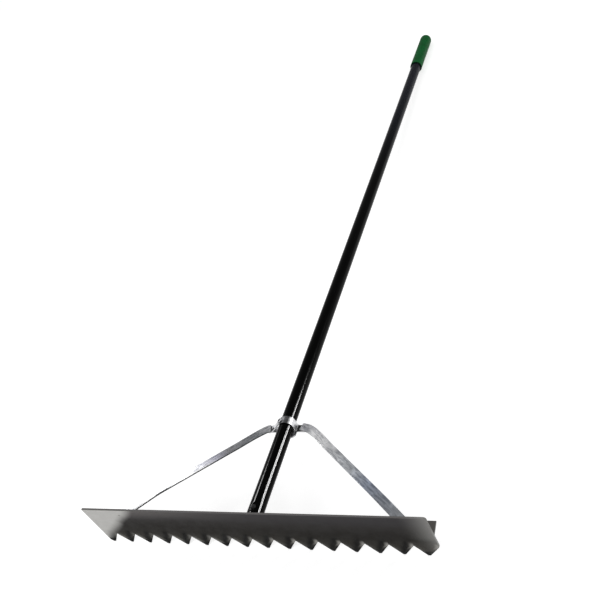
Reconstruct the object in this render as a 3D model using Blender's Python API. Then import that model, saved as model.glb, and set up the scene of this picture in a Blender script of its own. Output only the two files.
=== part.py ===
import math

import bmesh
import bpy
from mathutils import Matrix, Vector

# Head plate: x along the head, y back from its front face, z up from the middle of the web
HEAD_LENGTH = 0.6096
HEAD_SHIFT = -0.0021
PLATE_THICKNESS = 0.0032
TOP_EDGE_HEIGHT = 0.0500
ROOT_DEPTH = 0.0304
TOP_CORNER_ROUND = 0.0045
SHARP_CORNER_ROUND = 0.0006
LOWER_CORNER_ROUND = 0.0110

# Teeth: as many as fit on the head at this pitch
TOOTH_PITCH = 0.03885
TOOTH_LENGTH = 0.0282
FIRST_TIP_FROM_END = 0.0067
LAST_TIP_FROM_END_LEAST = 0.0150
TIP_LEAN = 0.0028
TIP_HALF_WIDTH = 0.0020
TIP_ROUND = 0.0012
ROOT_HALF_WIDTH = 0.0005
FLANK_BEVEL_WIDTH = 0.0050
FLANK_BEVEL_DEPTH = 0.0008
TIP_BEVEL_LENGTH = 0.0074
TIP_BEVEL_DEPTH = 0.0014
END_TOOTH_LEDGE = 0.0008

# Web on the back of the plate
WEB_REACH = 0.0254
WEB_THICKNESS = 0.0032
WEB_FILLET = 0.0020
WEB_END_INSET = 0.0005

# Handle tube: s runs along the tube from the plate's front face, z is up from its axis
TUBE_DIAMETER = 0.0273
TUBE_WALL = 0.0016
TUBE_END = 1.7690
TUBE_BEHIND_PLATE = 0.0020
HANDLE_DROOP = math.radians(4.78)
AXIS_BEHIND_PLATE = 0.0118
SLOT_PAST_WEB = 0.0016
PRESSED_LENGTH = 0.0600
PRESSED_WIDENING = 0.05

# Grip, pushed over the end of the tube
GRIP_WALL = 0.00305
GRIP_LENGTH = 0.1960
GRIP_PAST_TUBE = 0.0150
GRIP_EDGE_ROUND = 0.0012

# Clamp: reaches are from the side of the tube, places along it from the middle of the upper band
CLAMP_MIDDLE = 0.2170
UPPER_BAND_WIDTH = 0.0150
UPPER_BAND_THICKNESS = 0.0020
LOWER_BAND_WIDTH = 0.0225
LOWER_BAND_THICKNESS = 0.0025
LOWER_BAND_SHIFT = -0.00375
LOWER_BAND_SLACK = 0.00265
EAR_FRONT_REACH = 0.0064
EAR_BACK_REACH = 0.0065
EAR_TRIM_LENGTH = 0.0400
LEFT_KNEE_REACH = 0.01785
RIGHT_KNEE_REACH = 0.00215
LOWER_KNEE_REACH = 0.00035
EAR_PAST_BOLT = 0.0062
BEND_RADIUS = 0.0030

# Braces: the elbow's three control points, from the side of the tube and the middle of the clamp
BRACE_WIDTH = 0.0160
BRACE_THICKNESS = 0.0030
BRACE_BELOW_AXIS = 0.0050
LEFT_BRACE_PAST_BOLT = 0.0060
RIGHT_BRACE_PAST_BOLT = 0.0090
ELBOW_START = (0.02635, -0.0045)
ELBOW_CORNER = (0.04135, -0.0120)
ELBOW_END = (0.06935, -0.0405)
BRACE_END_SLOPE = 0.30
BRACE_FOOT_FROM_HEAD_END = 0.0404
BRACE_FOOT_BEHIND_PLATE = 0.0070
BRACE_FOLD_BEHIND_WEB = 0.0346
BRACE_LEVEL_BEFORE_CLAMP = 0.0150
BRACE_FOLD_LENGTH = 0.0080
BRACE_CORNER_ROUND = 0.0015

# Fasteners
BOLT_DIAMETER = 0.0058
BOLT_HEAD_DIAMETER = 0.0095
BOLT_HEAD_HEIGHT = 0.0028
BOLT_TAIL = 0.0020
NUT_ACROSS_FLATS = 0.0100
NUT_HEIGHT = 0.0050
SEAT_DIAMETER = 0.0120
SEAT_DEPTH = 0.0007
CLAMP_BOLT_DIAMETER = 0.0045
CLAMP_BOLT_TAIL = 0.0004
CLAMP_NUT_ACROSS_FLATS = 0.0072
CLAMP_NUT_HEIGHT = 0.0026
SUNK_HEAD_DIAMETER = 0.0080
SUNK_HEAD_HEIGHT = 0.0018
SUNK_HEAD_DROP = 0.0002
FOOT_BOLT_FROM_HEAD_END = 0.0477
FOOT_BOLT_BEHIND_PLATE = 0.0138
LEFT_CLAMP_BOLT_REACH = 0.02635
RIGHT_CLAMP_BOLT_REACH = 0.02085
CLAMP_BOLT_SHIFT = -0.0010
REAR_BOLT_PAST_WEB = 0.0088
PIN_SCREW_SHIFT = -0.0022
PIN_SCREW_ANGLE = math.radians(28)
PIN_SCREW_DIAMETER = 0.0042
PIN_HEAD_DIAMETER = 0.0092
PIN_HEAD_HEIGHT = 0.0028
PIN_RECESS_DIAMETER = 0.0040
PIN_RECESS_DEPTH = 0.0014
PIN_REACH = 0.0065

# Fits and counts
SEAT_GAP = 0.0003
HOLE_CLEARANCE = 0.0004
ROUND_STEPS = 40
SMALL_STEPS = 24
HEX_STEPS = 6
CUT_MARGIN = 0.0100

# What follows from the sizes above
TOOTH_COUNT = 1 + int((HEAD_LENGTH - FIRST_TIP_FROM_END - LAST_TIP_FROM_END_LEAST) / TOOTH_PITCH)
TUBE_RADIUS = TUBE_DIAMETER / 2
TUBE_START = PLATE_THICKNESS + TUBE_BEHIND_PLATE
AXIS_CROSSES_WEB = PLATE_THICKNESS + AXIS_BEHIND_PLATE
SLOT_END = WEB_REACH + SLOT_PAST_WEB
REAR_BOLT_S = WEB_REACH + REAR_BOLT_PAST_WEB
GRIP_BORE_RADIUS = TUBE_RADIUS + SEAT_GAP
GRIP_RADIUS = GRIP_BORE_RADIUS + GRIP_WALL
GRIP_END = TUBE_END + GRIP_PAST_TUBE
GRIP_START = GRIP_END - GRIP_LENGTH
EAR_FRONT = CLAMP_MIDDLE - EAR_FRONT_REACH
EAR_BACK = CLAMP_MIDDLE + EAR_BACK_REACH
CLAMP_BOLT_S = CLAMP_MIDDLE + CLAMP_BOLT_SHIFT
PIN_SCREW_S = CLAMP_MIDDLE + PIN_SCREW_SHIFT
LOWER_BAND_DEPTH = TUBE_RADIUS + LOWER_BAND_SLACK
LEFT_KNEE = TUBE_RADIUS + LEFT_KNEE_REACH
RIGHT_KNEE = TUBE_RADIUS + RIGHT_KNEE_REACH
LOWER_KNEE = TUBE_RADIUS + LOWER_KNEE_REACH
LEFT_CLAMP_BOLT_X = TUBE_RADIUS + LEFT_CLAMP_BOLT_REACH
RIGHT_CLAMP_BOLT_X = TUBE_RADIUS + RIGHT_CLAMP_BOLT_REACH
LEFT_EAR_END = LEFT_CLAMP_BOLT_X + EAR_PAST_BOLT
RIGHT_EAR_END = RIGHT_CLAMP_BOLT_X + EAR_PAST_BOLT
LEFT_BRACE_END = LEFT_CLAMP_BOLT_X - LEFT_BRACE_PAST_BOLT
RIGHT_BRACE_END = RIGHT_CLAMP_BOLT_X - RIGHT_BRACE_PAST_BOLT
BRACE_FOOT = (HEAD_LENGTH / 2 - BRACE_FOOT_FROM_HEAD_END, PLATE_THICKNESS + BRACE_FOOT_BEHIND_PLATE)
BRACE_FOLD_Y = WEB_REACH + BRACE_FOLD_BEHIND_WEB
BRACE_LEVEL_Y = CLAMP_MIDDLE - BRACE_LEVEL_BEFORE_CLAMP
FOOT_BOLT_X = HEAD_LENGTH / 2 - FOOT_BOLT_FROM_HEAD_END
FOOT_BOLT_Y = PLATE_THICKNESS + FOOT_BOLT_BEHIND_PLATE

DARK_STEEL = ("dark_steel", (0.060, 0.057, 0.053), 0.45, 0.9)
GLOSS_BLACK = ("gloss_black", (0.012, 0.013, 0.014), 0.22, 0.0)
BRIGHT_METAL = ("bright_metal", (0.640, 0.650, 0.660), 0.38, 1.0)
GREEN_SLEEVE = ("green_sleeve", (0.011, 0.110, 0.026), 0.50, 0.0)
BLACK_STEEL = ("black_steel", (0.030, 0.030, 0.032), 0.40, 0.8)


def clear_scene():
    for obj in list(bpy.data.objects):
        bpy.data.objects.remove(obj)


def new_collection(name):
    found = bpy.data.collections.new(name)
    bpy.context.scene.collection.children.link(found)
    return found


def material_of(look):
    name, colour, roughness, metallic = look
    if name in bpy.data.materials:
        return bpy.data.materials[name]
    made = bpy.data.materials.new(name)
    made.use_nodes = True
    shader = made.node_tree.nodes["Principled BSDF"]
    shader.inputs["Base Color"].default_value = (*colour, 1.0)
    shader.inputs["Roughness"].default_value = roughness
    shader.inputs["Metallic"].default_value = metallic
    made.diffuse_color = (*colour, 1.0)
    return made


def piece(name, bm, look, parent, round_edges=False):
    bmesh.ops.recalc_face_normals(bm, faces=bm.faces)
    mesh = bpy.data.meshes.new(name)
    bm.to_mesh(mesh)
    bm.free()
    if round_edges:
        mesh.shade_smooth()
        mesh.set_sharp_from_angle(angle=math.radians(35))
    mesh.materials.append(material_of(look))
    obj = bpy.data.objects.new(name, mesh)
    rake.objects.link(obj)
    obj.parent = parent
    return obj


def cutter(name, bm, parent):
    bmesh.ops.recalc_face_normals(bm, faces=bm.faces)
    mesh = bpy.data.meshes.new(name)
    bm.to_mesh(mesh)
    bm.free()
    obj = bpy.data.objects.new(name, mesh)
    cutters.objects.link(obj)
    obj.parent = parent
    obj.hide_render = True
    obj.display_type = "WIRE"
    return obj


def combine(obj, other, operation):
    modifier = obj.modifiers.new(other.name, "BOOLEAN")
    modifier.operation = operation
    modifier.solver = "EXACT"
    modifier.object = other


def loft(bm, rings):
    """Skin between rings of equal length, with both ends closed."""
    layers = [[bm.verts.new(point) for point in ring] for ring in rings]
    count = len(rings[0])
    for low, high in zip(layers, layers[1:]):
        for i in range(count):
            j = (i + 1) % count
            bm.faces.new((low[i], low[j], high[j], high[i]))
    bm.faces.new(layers[0])
    bm.faces.new(layers[-1])


def revolve(profile, steps, closed):
    """Body of revolution about z from (radius, height) points."""
    bm = bmesh.new()
    verts = [bm.verts.new((radius, 0, height)) for radius, height in profile]
    edges = [bm.edges.new(pair) for pair in zip(verts, verts[1:])]
    if closed:
        edges.append(bm.edges.new((verts[-1], verts[0])))
    bmesh.ops.spin(
        bm,
        geom=verts + edges,
        cent=(0, 0, 0),
        axis=(0, 0, 1),
        angle=math.tau,
        steps=steps,
        use_merge=True,
    )
    bmesh.ops.remove_doubles(bm, verts=bm.verts, dist=1e-6)
    return bm


def cylinder(radius, low, high, steps):
    bm = bmesh.new()
    bmesh.ops.create_cone(
        bm,
        cap_ends=True,
        segments=steps,
        radius1=radius,
        radius2=radius,
        depth=high - low,
        matrix=Matrix.Translation((0, 0, (low + high) / 2)),
    )
    return bm


def moved(bm, matrix):
    bmesh.ops.transform(bm, matrix=matrix, verts=bm.verts)
    return bm


def rounded(corners, radii, steps):
    """Closed outline with each corner replaced by an arc of the same number of points."""
    points = []
    count = len(corners)
    for i, radius in enumerate(radii):
        corner = Vector(corners[i])
        if not radius:
            points.append(corner)
            continue
        before = (Vector(corners[i - 1]) - corner).normalized()
        after = (Vector(corners[(i + 1) % count]) - corner).normalized()
        half = before.angle(after) / 2
        centre = corner + (before + after).normalized() * radius / math.sin(half)
        start = corner + before * radius / math.tan(half) - centre
        turn = math.pi - 2 * half
        if before.cross(after) > 0:
            turn = -turn
        for step in range(steps + 1):
            points.append(centre + Matrix.Rotation(turn * step / steps, 2) @ start)
    return points


def head_end(side):
    return HEAD_SHIFT + side * HEAD_LENGTH / 2


def tooth_middle_x(index):
    return head_end(-1) + FIRST_TIP_FROM_END + index * TOOTH_PITCH


def tooth_edge(inset, lift, root_lift):
    """Lower edge of the plate from its right end to its left, as corners with their rounding."""
    run = TOOTH_PITCH / 2 - ROOT_HALF_WIDTH - TIP_HALF_WIDTH
    tip_half = TIP_HALF_WIDTH + lift * run / TOOTH_LENGTH - inset
    tip_z = lift - ROOT_DEPTH - TOOTH_LENGTH
    root_z = root_lift - ROOT_DEPTH
    tip_round = TIP_ROUND if not lift else tip_half / 2
    lean = TIP_LEAN * (1 - lift / TOOTH_LENGTH)
    corners = [(head_end(1), root_z)]
    radii = [LOWER_CORNER_ROUND]
    for index in reversed(range(TOOTH_COUNT)):
        middle = tooth_middle_x(index)
        if index < TOOTH_COUNT - 1:
            root_x = middle + TOOTH_PITCH / 2
            corners += [(root_x + ROOT_HALF_WIDTH, root_z), (root_x - ROOT_HALF_WIDTH, root_z)]
            radii += [0, 0]
        corners += [(middle - lean + tip_half, tip_z), (middle - lean - tip_half, tip_z)]
        radii += [tip_round] * 2
    if lift:
        corners[-1] = (head_end(-1) + END_TOOTH_LEDGE, tip_z)
    end_rise = (FIRST_TIP_FROM_END - TIP_LEAN - TIP_HALF_WIDTH) * TOOTH_LENGTH / run
    end_lift = END_TOOTH_LEDGE if lift else end_rise
    corners.append((head_end(-1), tip_z + end_lift))
    radii.append(0)
    return corners, radii


def plate_outline(inset, lift, root_lift):
    corners, radii = tooth_edge(inset, lift, root_lift)
    corners = [(head_end(-1), TOP_EDGE_HEIGHT), (head_end(1), TOP_EDGE_HEIGHT)] + corners
    radii = [SHARP_CORNER_ROUND, TOP_CORNER_ROUND] + radii
    return rounded(corners, radii, 2)


def make_web():
    """Web section with a fillet against the plate, drawn along the head."""
    half = WEB_THICKNESS / 2
    back = PLATE_THICKNESS
    quarter = [math.radians(a) for a in (270, 240, 210, 180)]
    middle = back + WEB_FILLET
    upper = []
    for angle in quarter:
        rise = WEB_FILLET * (1 + math.sin(angle))
        upper.append((middle + WEB_FILLET * math.cos(angle), half + rise))
    nose = [(WEB_REACH, half - SHARP_CORNER_ROUND), (WEB_REACH - SHARP_CORNER_ROUND, half)]
    top = nose + upper + [(back / 2, half + WEB_FILLET)]
    section = top + [(y, -z) for y, z in reversed(top)]
    ends = (head_end(-1) + WEB_END_INSET, head_end(1) - WEB_END_INSET)
    bm = bmesh.new()
    loft(bm, [[(x, y, z) for y, z in section] for x in ends])
    return cutter("web_section", bm, root)


def make_head():
    run = TOOTH_PITCH / 2 - ROOT_HALF_WIDTH - TIP_HALF_WIDTH
    inset = FLANK_BEVEL_WIDTH * math.hypot(run, TOOTH_LENGTH) / TOOTH_LENGTH
    root_lift = inset * TOOTH_LENGTH / run
    front = plate_outline(inset, TIP_BEVEL_LENGTH, root_lift)
    full = plate_outline(0, 0, 0)
    deep = TIP_BEVEL_DEPTH - FLANK_BEVEL_DEPTH
    bm = bmesh.new()
    rings = [[(x, 0, z) for x, z in front]]
    rings.append(
        [(x, FLANK_BEVEL_DEPTH + deep * (z < -ROOT_DEPTH - TOOTH_LENGTH / 2), z) for x, z in full]
    )
    rings.append([(x, PLATE_THICKNESS, z) for x, z in full])
    loft(bm, rings)
    head = piece("toothed_head", bm, DARK_STEEL, root)
    combine(head, make_web(), "UNION")
    for side, name in ((-1, "left_foot_hole"), (1, "right_foot_hole")):
        place = Matrix.Translation((side * FOOT_BOLT_X, FOOT_BOLT_Y, 0))
        combine(head, hole(name, BOLT_DIAMETER, CUT_MARGIN, place, root), "DIFFERENCE")
    place = Matrix.Translation((0, AXIS_CROSSES_WEB, 0)) @ Matrix.Rotation(-HANDLE_DROOP, 4, "X")
    combine(head, hole("web_handle_hole", BOLT_DIAMETER, CUT_MARGIN, place, root), "DIFFERENCE")


def hole(name, diameter, reach, place, parent):
    bm = cylinder(diameter / 2 + HOLE_CLEARANCE, -reach, reach, SMALL_STEPS)
    return cutter(name, moved(bm, place), parent)


def web_bolt_s():
    return AXIS_CROSSES_WEB / math.cos(HANDLE_DROOP)


def make_tube():
    """Straight tube, pressed slightly wide where it closes onto the web, slotted for it."""
    outer = TUBE_RADIUS
    inner = outer - TUBE_WALL
    pressed = [PRESSED_LENGTH * step / 4 for step in range(1, 6)]
    stations = [TUBE_START] + [s for s in pressed if s > TUBE_START] + [TUBE_END]
    profile = [(outer, s) for s in stations] + [(inner, s) for s in reversed(stations)]
    bm = revolve(profile, ROUND_STEPS, True)
    moved(bm, Matrix.Rotation(-math.pi / 2, 4, "X"))
    for vert in bm.verts:
        left = min(max(1 - vert.co.y / PRESSED_LENGTH, 0), 1)
        ease = PRESSED_WIDENING * left * (2 - left)
        vert.co.x *= 1 + ease
        vert.co.z *= 1 - ease
    tube = piece("handle_tube", bm, GLOSS_BLACK, handle, round_edges=True)
    bm = bmesh.new()
    bmesh.ops.create_cube(bm, size=1)
    gap = WEB_THICKNESS + 2 * SEAT_GAP
    box = Matrix.Diagonal((2 * TUBE_DIAMETER, 2 * SLOT_END, gap, 1))
    combine(tube, cutter("web_slot", moved(bm, box), root), "DIFFERENCE")
    for name, s in (("front_bolt_holes", web_bolt_s()), ("rear_bolt_holes", REAR_BOLT_S)):
        place = Matrix.Translation((0, s, 0))
        combine(tube, hole(name, BOLT_DIAMETER, TUBE_DIAMETER, place, handle), "DIFFERENCE")
    for name, s in (("front_bolt", web_bolt_s()), ("rear_bolt", REAR_BOLT_S)):
        for side, end in ((1, "top"), (-1, "bottom")):
            low = bolt_seat(s)
            bm = cylinder(SEAT_DIAMETER / 2, low, low + CUT_MARGIN, SMALL_STEPS)
            moved(bm, Matrix.Translation((0, s, 0)) @ Matrix.Diagonal((1, 1, side, 1)))
            combine(tube, cutter(f"{name}_{end}_seat", bm, handle), "DIFFERENCE")
    combine(tube, pin_screw_hole("tube_pin_hole"), "DIFFERENCE")


def bolt_seat(s):
    """Height of the small flat that a handle bolt's head or nut rests on."""
    left = min(max(1 - s / PRESSED_LENGTH, 0), 1)
    ease = PRESSED_WIDENING * left * (2 - left)
    return TUBE_RADIUS * (1 - ease) - SEAT_DEPTH


def pin_screw_hole(name):
    turn = Matrix.Rotation(-PIN_SCREW_ANGLE, 4, "Y")
    low = TUBE_RADIUS - 2 * PIN_REACH
    bm = cylinder(PIN_SCREW_DIAMETER / 2 + HOLE_CLEARANCE / 2, low, TUBE_DIAMETER, SMALL_STEPS)
    return cutter(name, moved(bm, Matrix.Translation((0, PIN_SCREW_S, 0)) @ turn), handle)


def make_grip():
    outer = GRIP_RADIUS
    bore = GRIP_BORE_RADIUS
    dome_start = GRIP_END - outer
    profile = [(bore, GRIP_START), (outer - GRIP_EDGE_ROUND, GRIP_START)]
    for step in (1, 2):
        turn = math.radians(45 * step)
        radius = outer - GRIP_EDGE_ROUND * (1 - math.sin(turn))
        profile.append((radius, GRIP_START + GRIP_EDGE_ROUND * (1 - math.cos(turn))))
    for step in range(9):
        turn = math.radians(90 * step / 8)
        profile.append((outer * math.cos(turn) if step < 8 else 0, dome_start + outer * math.sin(turn)))
    profile += [(0, TUBE_END + SEAT_GAP), (bore, TUBE_END + SEAT_GAP)]
    bm = revolve(profile + profile[:1], ROUND_STEPS, False)
    moved(bm, Matrix.Rotation(-math.pi / 2, 4, "X"))
    piece("grip", bm, GREEN_SLEEVE, handle, round_edges=True)


def brace_path(end_x):
    """Centre line seen from above, from the clamp to the foot."""
    tube_side = Vector((TUBE_RADIUS, CLAMP_MIDDLE))
    start, corner, stop = (tube_side + Vector(p) for p in (ELBOW_START, ELBOW_CORNER, ELBOW_END))
    points = [Vector((end_x, start.y + (start.x - end_x) * BRACE_END_SLOPE))]
    for t in (0, 0.2, 0.4, 0.6, 0.8, 1):
        points.append(start * (1 - t) ** 2 + corner * 2 * t * (1 - t) + stop * t * t)
    foot = Vector(BRACE_FOOT)
    for t in (0.15, 0.3, 0.45, 0.56, 0.6, 0.64, 0.68, 0.72, 0.82, 1):
        points.append(stop.lerp(foot, t))
    return points


def ramp(distance, length):
    """Zero before a fold, straight after it, with a short arc between."""
    if distance < -length:
        return 0
    if distance > length:
        return distance
    return (distance + length) ** 2 / (4 * length)


def brace_top(y):
    """Height of a brace's upper face: flat on the web, then down to the clamp."""
    foot = WEB_THICKNESS / 2 + SEAT_GAP + BRACE_THICKNESS
    level_slope = math.tan(HANDLE_DROOP)
    level = (AXIS_CROSSES_WEB - BRACE_LEVEL_Y) * level_slope - BRACE_BELOW_AXIS / math.cos(HANDLE_DROOP)
    slope = (foot - level) / (BRACE_LEVEL_Y - BRACE_FOLD_Y)
    fold = slope * ramp(y - BRACE_FOLD_Y, BRACE_FOLD_LENGTH)
    rise = (slope - level_slope) * ramp(y - BRACE_LEVEL_Y, BRACE_FOLD_LENGTH)
    return foot - fold + rise


def make_brace(name, side, end_x):
    path = brace_path(end_x)
    stations = []
    for i, point in enumerate(path):
        ahead = path[min(i + 1, len(path) - 1)] - path[max(i - 1, 0)]
        stations.append((point, ahead.normalized(), BRACE_WIDTH / 2))
    corner = BRACE_CORNER_ROUND
    for index, inward in ((0, 1), (-1, -1)):
        point, along, half = stations[index]
        softened = [
            (point, along, half - corner),
            (point + along * inward * corner * 0.3, along, half - corner * 0.3),
            (point + along * inward * corner, along, half),
        ]
        if index == 0:
            stations[:1] = softened
        else:
            stations[-1:] = softened[::-1]
    rings = []
    for point, along, half in stations:
        across = Vector((-along.y, along.x))
        ring = []
        for reach, low in ((half, 0), (half, 1), (-half, 1), (-half, 0)):
            x, y = point + across * reach
            ring.append((side * x, y, brace_top(y) - low * BRACE_THICKNESS))
        rings.append(ring)
    bm = bmesh.new()
    loft(bm, rings)
    brace = piece(name, bm, BRIGHT_METAL, root)
    place = Matrix.Translation((side * FOOT_BOLT_X, FOOT_BOLT_Y, 0))
    combine(brace, hole(f"{name}_foot_hole", BOLT_DIAMETER, CUT_MARGIN, place, root), "DIFFERENCE")
    return brace


def offset_band(path, thickness):
    """Outline of a strip of even thickness about a path, with mitred corners."""
    sides = []
    for sign in (1, -1):
        line = []
        for i, point in enumerate(path):
            before = (point - path[max(i - 1, 0)]).normalized()
            after = (path[min(i + 1, len(path) - 1)] - point).normalized()
            before = before if before.length else after
            after = after if after.length else before
            across = (before + after).normalized()
            across = Vector((-across.y, across.x))
            stretch = max(across.dot(Vector((-before.y, before.x))), 0.5)
            line.append(point + across * sign * thickness / 2 / stretch)
        sides.append(line)
    return sides[0] + sides[1][::-1]


def bent(corners, radius):
    """Open path with its inner corners bent to a radius."""
    path = [Vector(corners[0])]
    for a, b, c in zip(corners, corners[1:], corners[2:]):
        corner = Vector(b)
        before = (Vector(a) - corner).normalized()
        after = (Vector(c) - corner).normalized()
        half = before.angle(after) / 2
        reach = radius / math.tan(half)
        for t in (0, 0.25, 0.5, 0.75, 1):
            start = corner + before * reach
            stop = corner + after * reach
            path.append(start * (1 - t) ** 2 + corner * 2 * t * (1 - t) + stop * t * t)
    return path + [Vector(corners[-1])]


def tangent_arc(left, right, radius, steps):
    """Arc over a round, from the line that reaches it from left to the line that leaves it to right."""
    angles = []
    for x, z, side in ((*left, -1), (*right, 1)):
        away = math.acos(radius / math.hypot(x, z))
        angles.append(math.atan2(z, side * x) + away)
    first = math.pi - angles[0]
    last = angles[1]
    return [
        (radius * math.cos(a), radius * math.sin(a))
        for a in (first + (last - first) * step / steps for step in range(steps + 1))
    ]


def strap(name, path, thickness, width, middle):
    outline = offset_band(path, thickness)
    bm = bmesh.new()
    ends = (middle - width / 2, middle + width / 2)
    loft(bm, [[(x, s, z) for x, z in outline] for s in ends])
    return piece(name, bm, BRIGHT_METAL, handle, round_edges=True)


def ear_trim(name, knees):
    """Boxes that narrow a strap's ears so that the brace ends cover them."""
    bm = bmesh.new()
    for side, knee in zip((-1, 1), knees):
        middle = side * (knee + BEND_RADIUS + EAR_TRIM_LENGTH / 2)
        for edge, away in ((EAR_FRONT, -1), (EAR_BACK, 1)):
            place = Matrix.Translation((middle, edge + away * CUT_MARGIN, lower_ear_z()))
            size = Matrix.Diagonal((EAR_TRIM_LENGTH, 2 * CUT_MARGIN, CUT_MARGIN, 1))
            bmesh.ops.create_cube(bm, size=1, matrix=place @ size)
    return cutter(name, bm, handle)


def upper_ear_z():
    return -BRACE_BELOW_AXIS - BRACE_THICKNESS - SEAT_GAP - UPPER_BAND_THICKNESS / 2


def lower_ear_z():
    return upper_ear_z() - UPPER_BAND_THICKNESS / 2 - SEAT_GAP - LOWER_BAND_THICKNESS / 2


def make_clamp():
    radius = TUBE_RADIUS + SEAT_GAP + UPPER_BAND_THICKNESS / 2
    ear = upper_ear_z()
    left = (-LEFT_KNEE, ear)
    right = (RIGHT_KNEE, ear)
    legs = tangent_arc(left, right, radius, 14)
    left_leg = bent([(-LEFT_EAR_END, ear), left, legs[0]], BEND_RADIUS)[:-1]
    right_leg = bent([legs[-1], right, (RIGHT_EAR_END, ear)], BEND_RADIUS)[1:]
    path = left_leg + [Vector(point) for point in legs] + right_leg
    upper = strap("upper_clamp", path, UPPER_BAND_THICKNESS, UPPER_BAND_WIDTH, CLAMP_MIDDLE)
    ear = lower_ear_z()
    deep = -LOWER_BAND_DEPTH - LOWER_BAND_THICKNESS / 2
    bowl = []
    for step in range(1, 10):
        turn = math.pi * (1 + step / 10)
        bowl.append((LOWER_KNEE * math.cos(turn), ear + (ear - deep) * math.sin(turn)))
    corners = [(-LEFT_EAR_END, ear), (-LOWER_KNEE - BEND_RADIUS / 2, ear)] + bowl
    corners += [(LOWER_KNEE + BEND_RADIUS / 2, ear), (RIGHT_EAR_END, ear)]
    path = [Vector(point) for point in corners]
    middle = CLAMP_MIDDLE + LOWER_BAND_SHIFT
    lower = strap("lower_clamp", path, LOWER_BAND_THICKNESS, LOWER_BAND_WIDTH, middle)
    combine(upper, pin_screw_hole("band_pin_hole"), "DIFFERENCE")
    combine(upper, ear_trim("upper_ear_trim", (LEFT_KNEE, RIGHT_KNEE)), "DIFFERENCE")
    combine(lower, ear_trim("lower_ear_trim", (LOWER_KNEE, LOWER_KNEE)), "DIFFERENCE")
    for side, x, name in ((-1, LEFT_CLAMP_BOLT_X, "left"), (1, RIGHT_CLAMP_BOLT_X, "right")):
        place = Matrix.Translation((side * x, CLAMP_BOLT_S, 0))
        for obj in (upper, lower, braces[name]):
            bore = hole(f"{name}_{obj.name}_bore", CLAMP_BOLT_DIAMETER, 3 * CUT_MARGIN, place, handle)
            combine(obj, bore, "DIFFERENCE")
        combine(braces[name], sunk_seat(f"{name}_sunk_seat", place), "DIFFERENCE")


def sunk_seat(name, place):
    top = CUT_MARGIN - BRACE_BELOW_AXIS
    low = SUNK_HEAD_HEIGHT + SUNK_HEAD_DROP + BRACE_BELOW_AXIS
    wide = SUNK_HEAD_DIAMETER / 2 + SEAT_GAP
    narrow = CLAMP_BOLT_DIAMETER / 2 + SEAT_GAP
    face = -BRACE_BELOW_AXIS - SUNK_HEAD_DROP
    profile = [(0, top), (wide, top), (wide, face), (narrow, -low), (0, -low)]
    return cutter(name, moved(revolve(profile, SMALL_STEPS, False), place), handle)


def make_pin_screw():
    seat = TUBE_RADIUS + 2 * SEAT_GAP + UPPER_BAND_THICKNESS
    top = seat + PIN_HEAD_HEIGHT
    wide = PIN_HEAD_DIAMETER / 2
    shank = PIN_SCREW_DIAMETER / 2
    recess = PIN_RECESS_DIAMETER / 2
    profile = [
        (0, top - PIN_RECESS_DEPTH),
        (recess, top - PIN_RECESS_DEPTH),
        (recess, top),
        (wide * 0.75, top - PIN_HEAD_HEIGHT * 0.12),
        (wide, seat + PIN_HEAD_HEIGHT * 0.4),
        (wide, seat),
        (shank, seat),
        (shank, TUBE_RADIUS - PIN_REACH + shank / 2),
        (shank / 2, TUBE_RADIUS - PIN_REACH),
        (0, TUBE_RADIUS - PIN_REACH),
    ]
    turn = Matrix.Rotation(-PIN_SCREW_ANGLE, 4, "Y")
    bm = moved(revolve(profile, SMALL_STEPS, False), Matrix.Translation((0, PIN_SCREW_S, 0)) @ turn)
    piece("clamp_screw", bm, BRIGHT_METAL, handle, round_edges=True)


def round_head_bolt(name, seat, tail, place, parent, look):
    wide = BOLT_HEAD_DIAMETER / 2
    shank = BOLT_DIAMETER / 2
    profile = [
        (0, seat + BOLT_HEAD_HEIGHT),
        (wide * 0.55, seat + BOLT_HEAD_HEIGHT * 0.92),
        (wide * 0.88, seat + BOLT_HEAD_HEIGHT * 0.6),
        (wide, seat + BOLT_HEAD_HEIGHT * 0.15),
        (wide, seat),
        (shank, seat),
        (shank, tail + shank / 3),
        (shank * 0.7, tail),
        (0, tail),
    ]
    piece(name, moved(revolve(profile, SMALL_STEPS, False), place), look, parent, round_edges=True)


def sunk_head_bolt(name, top, tail, place, parent, look):
    wide = SUNK_HEAD_DIAMETER / 2
    shank = CLAMP_BOLT_DIAMETER / 2
    profile = [
        (0, top),
        (wide, top),
        (shank, top - SUNK_HEAD_HEIGHT),
        (shank, tail + shank / 3),
        (shank * 0.7, tail),
        (0, tail),
    ]
    piece(name, moved(revolve(profile, SMALL_STEPS, False), place), look, parent, round_edges=True)


def make_nut(name, top, sizes, place, parent, look):
    across_flats, height, bolt_diameter = sizes
    across_corners = across_flats / math.cos(math.pi / HEX_STEPS)
    bm = cylinder(across_corners / 2, top - height, top, HEX_STEPS)
    nut = piece(name, moved(bm, place), look, parent)
    bore = cylinder(bolt_diameter / 2 + SEAT_GAP, top - CUT_MARGIN, top + CUT_MARGIN, SMALL_STEPS)
    combine(nut, cutter(f"{name}_bore", moved(bore, place), parent), "DIFFERENCE")


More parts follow.
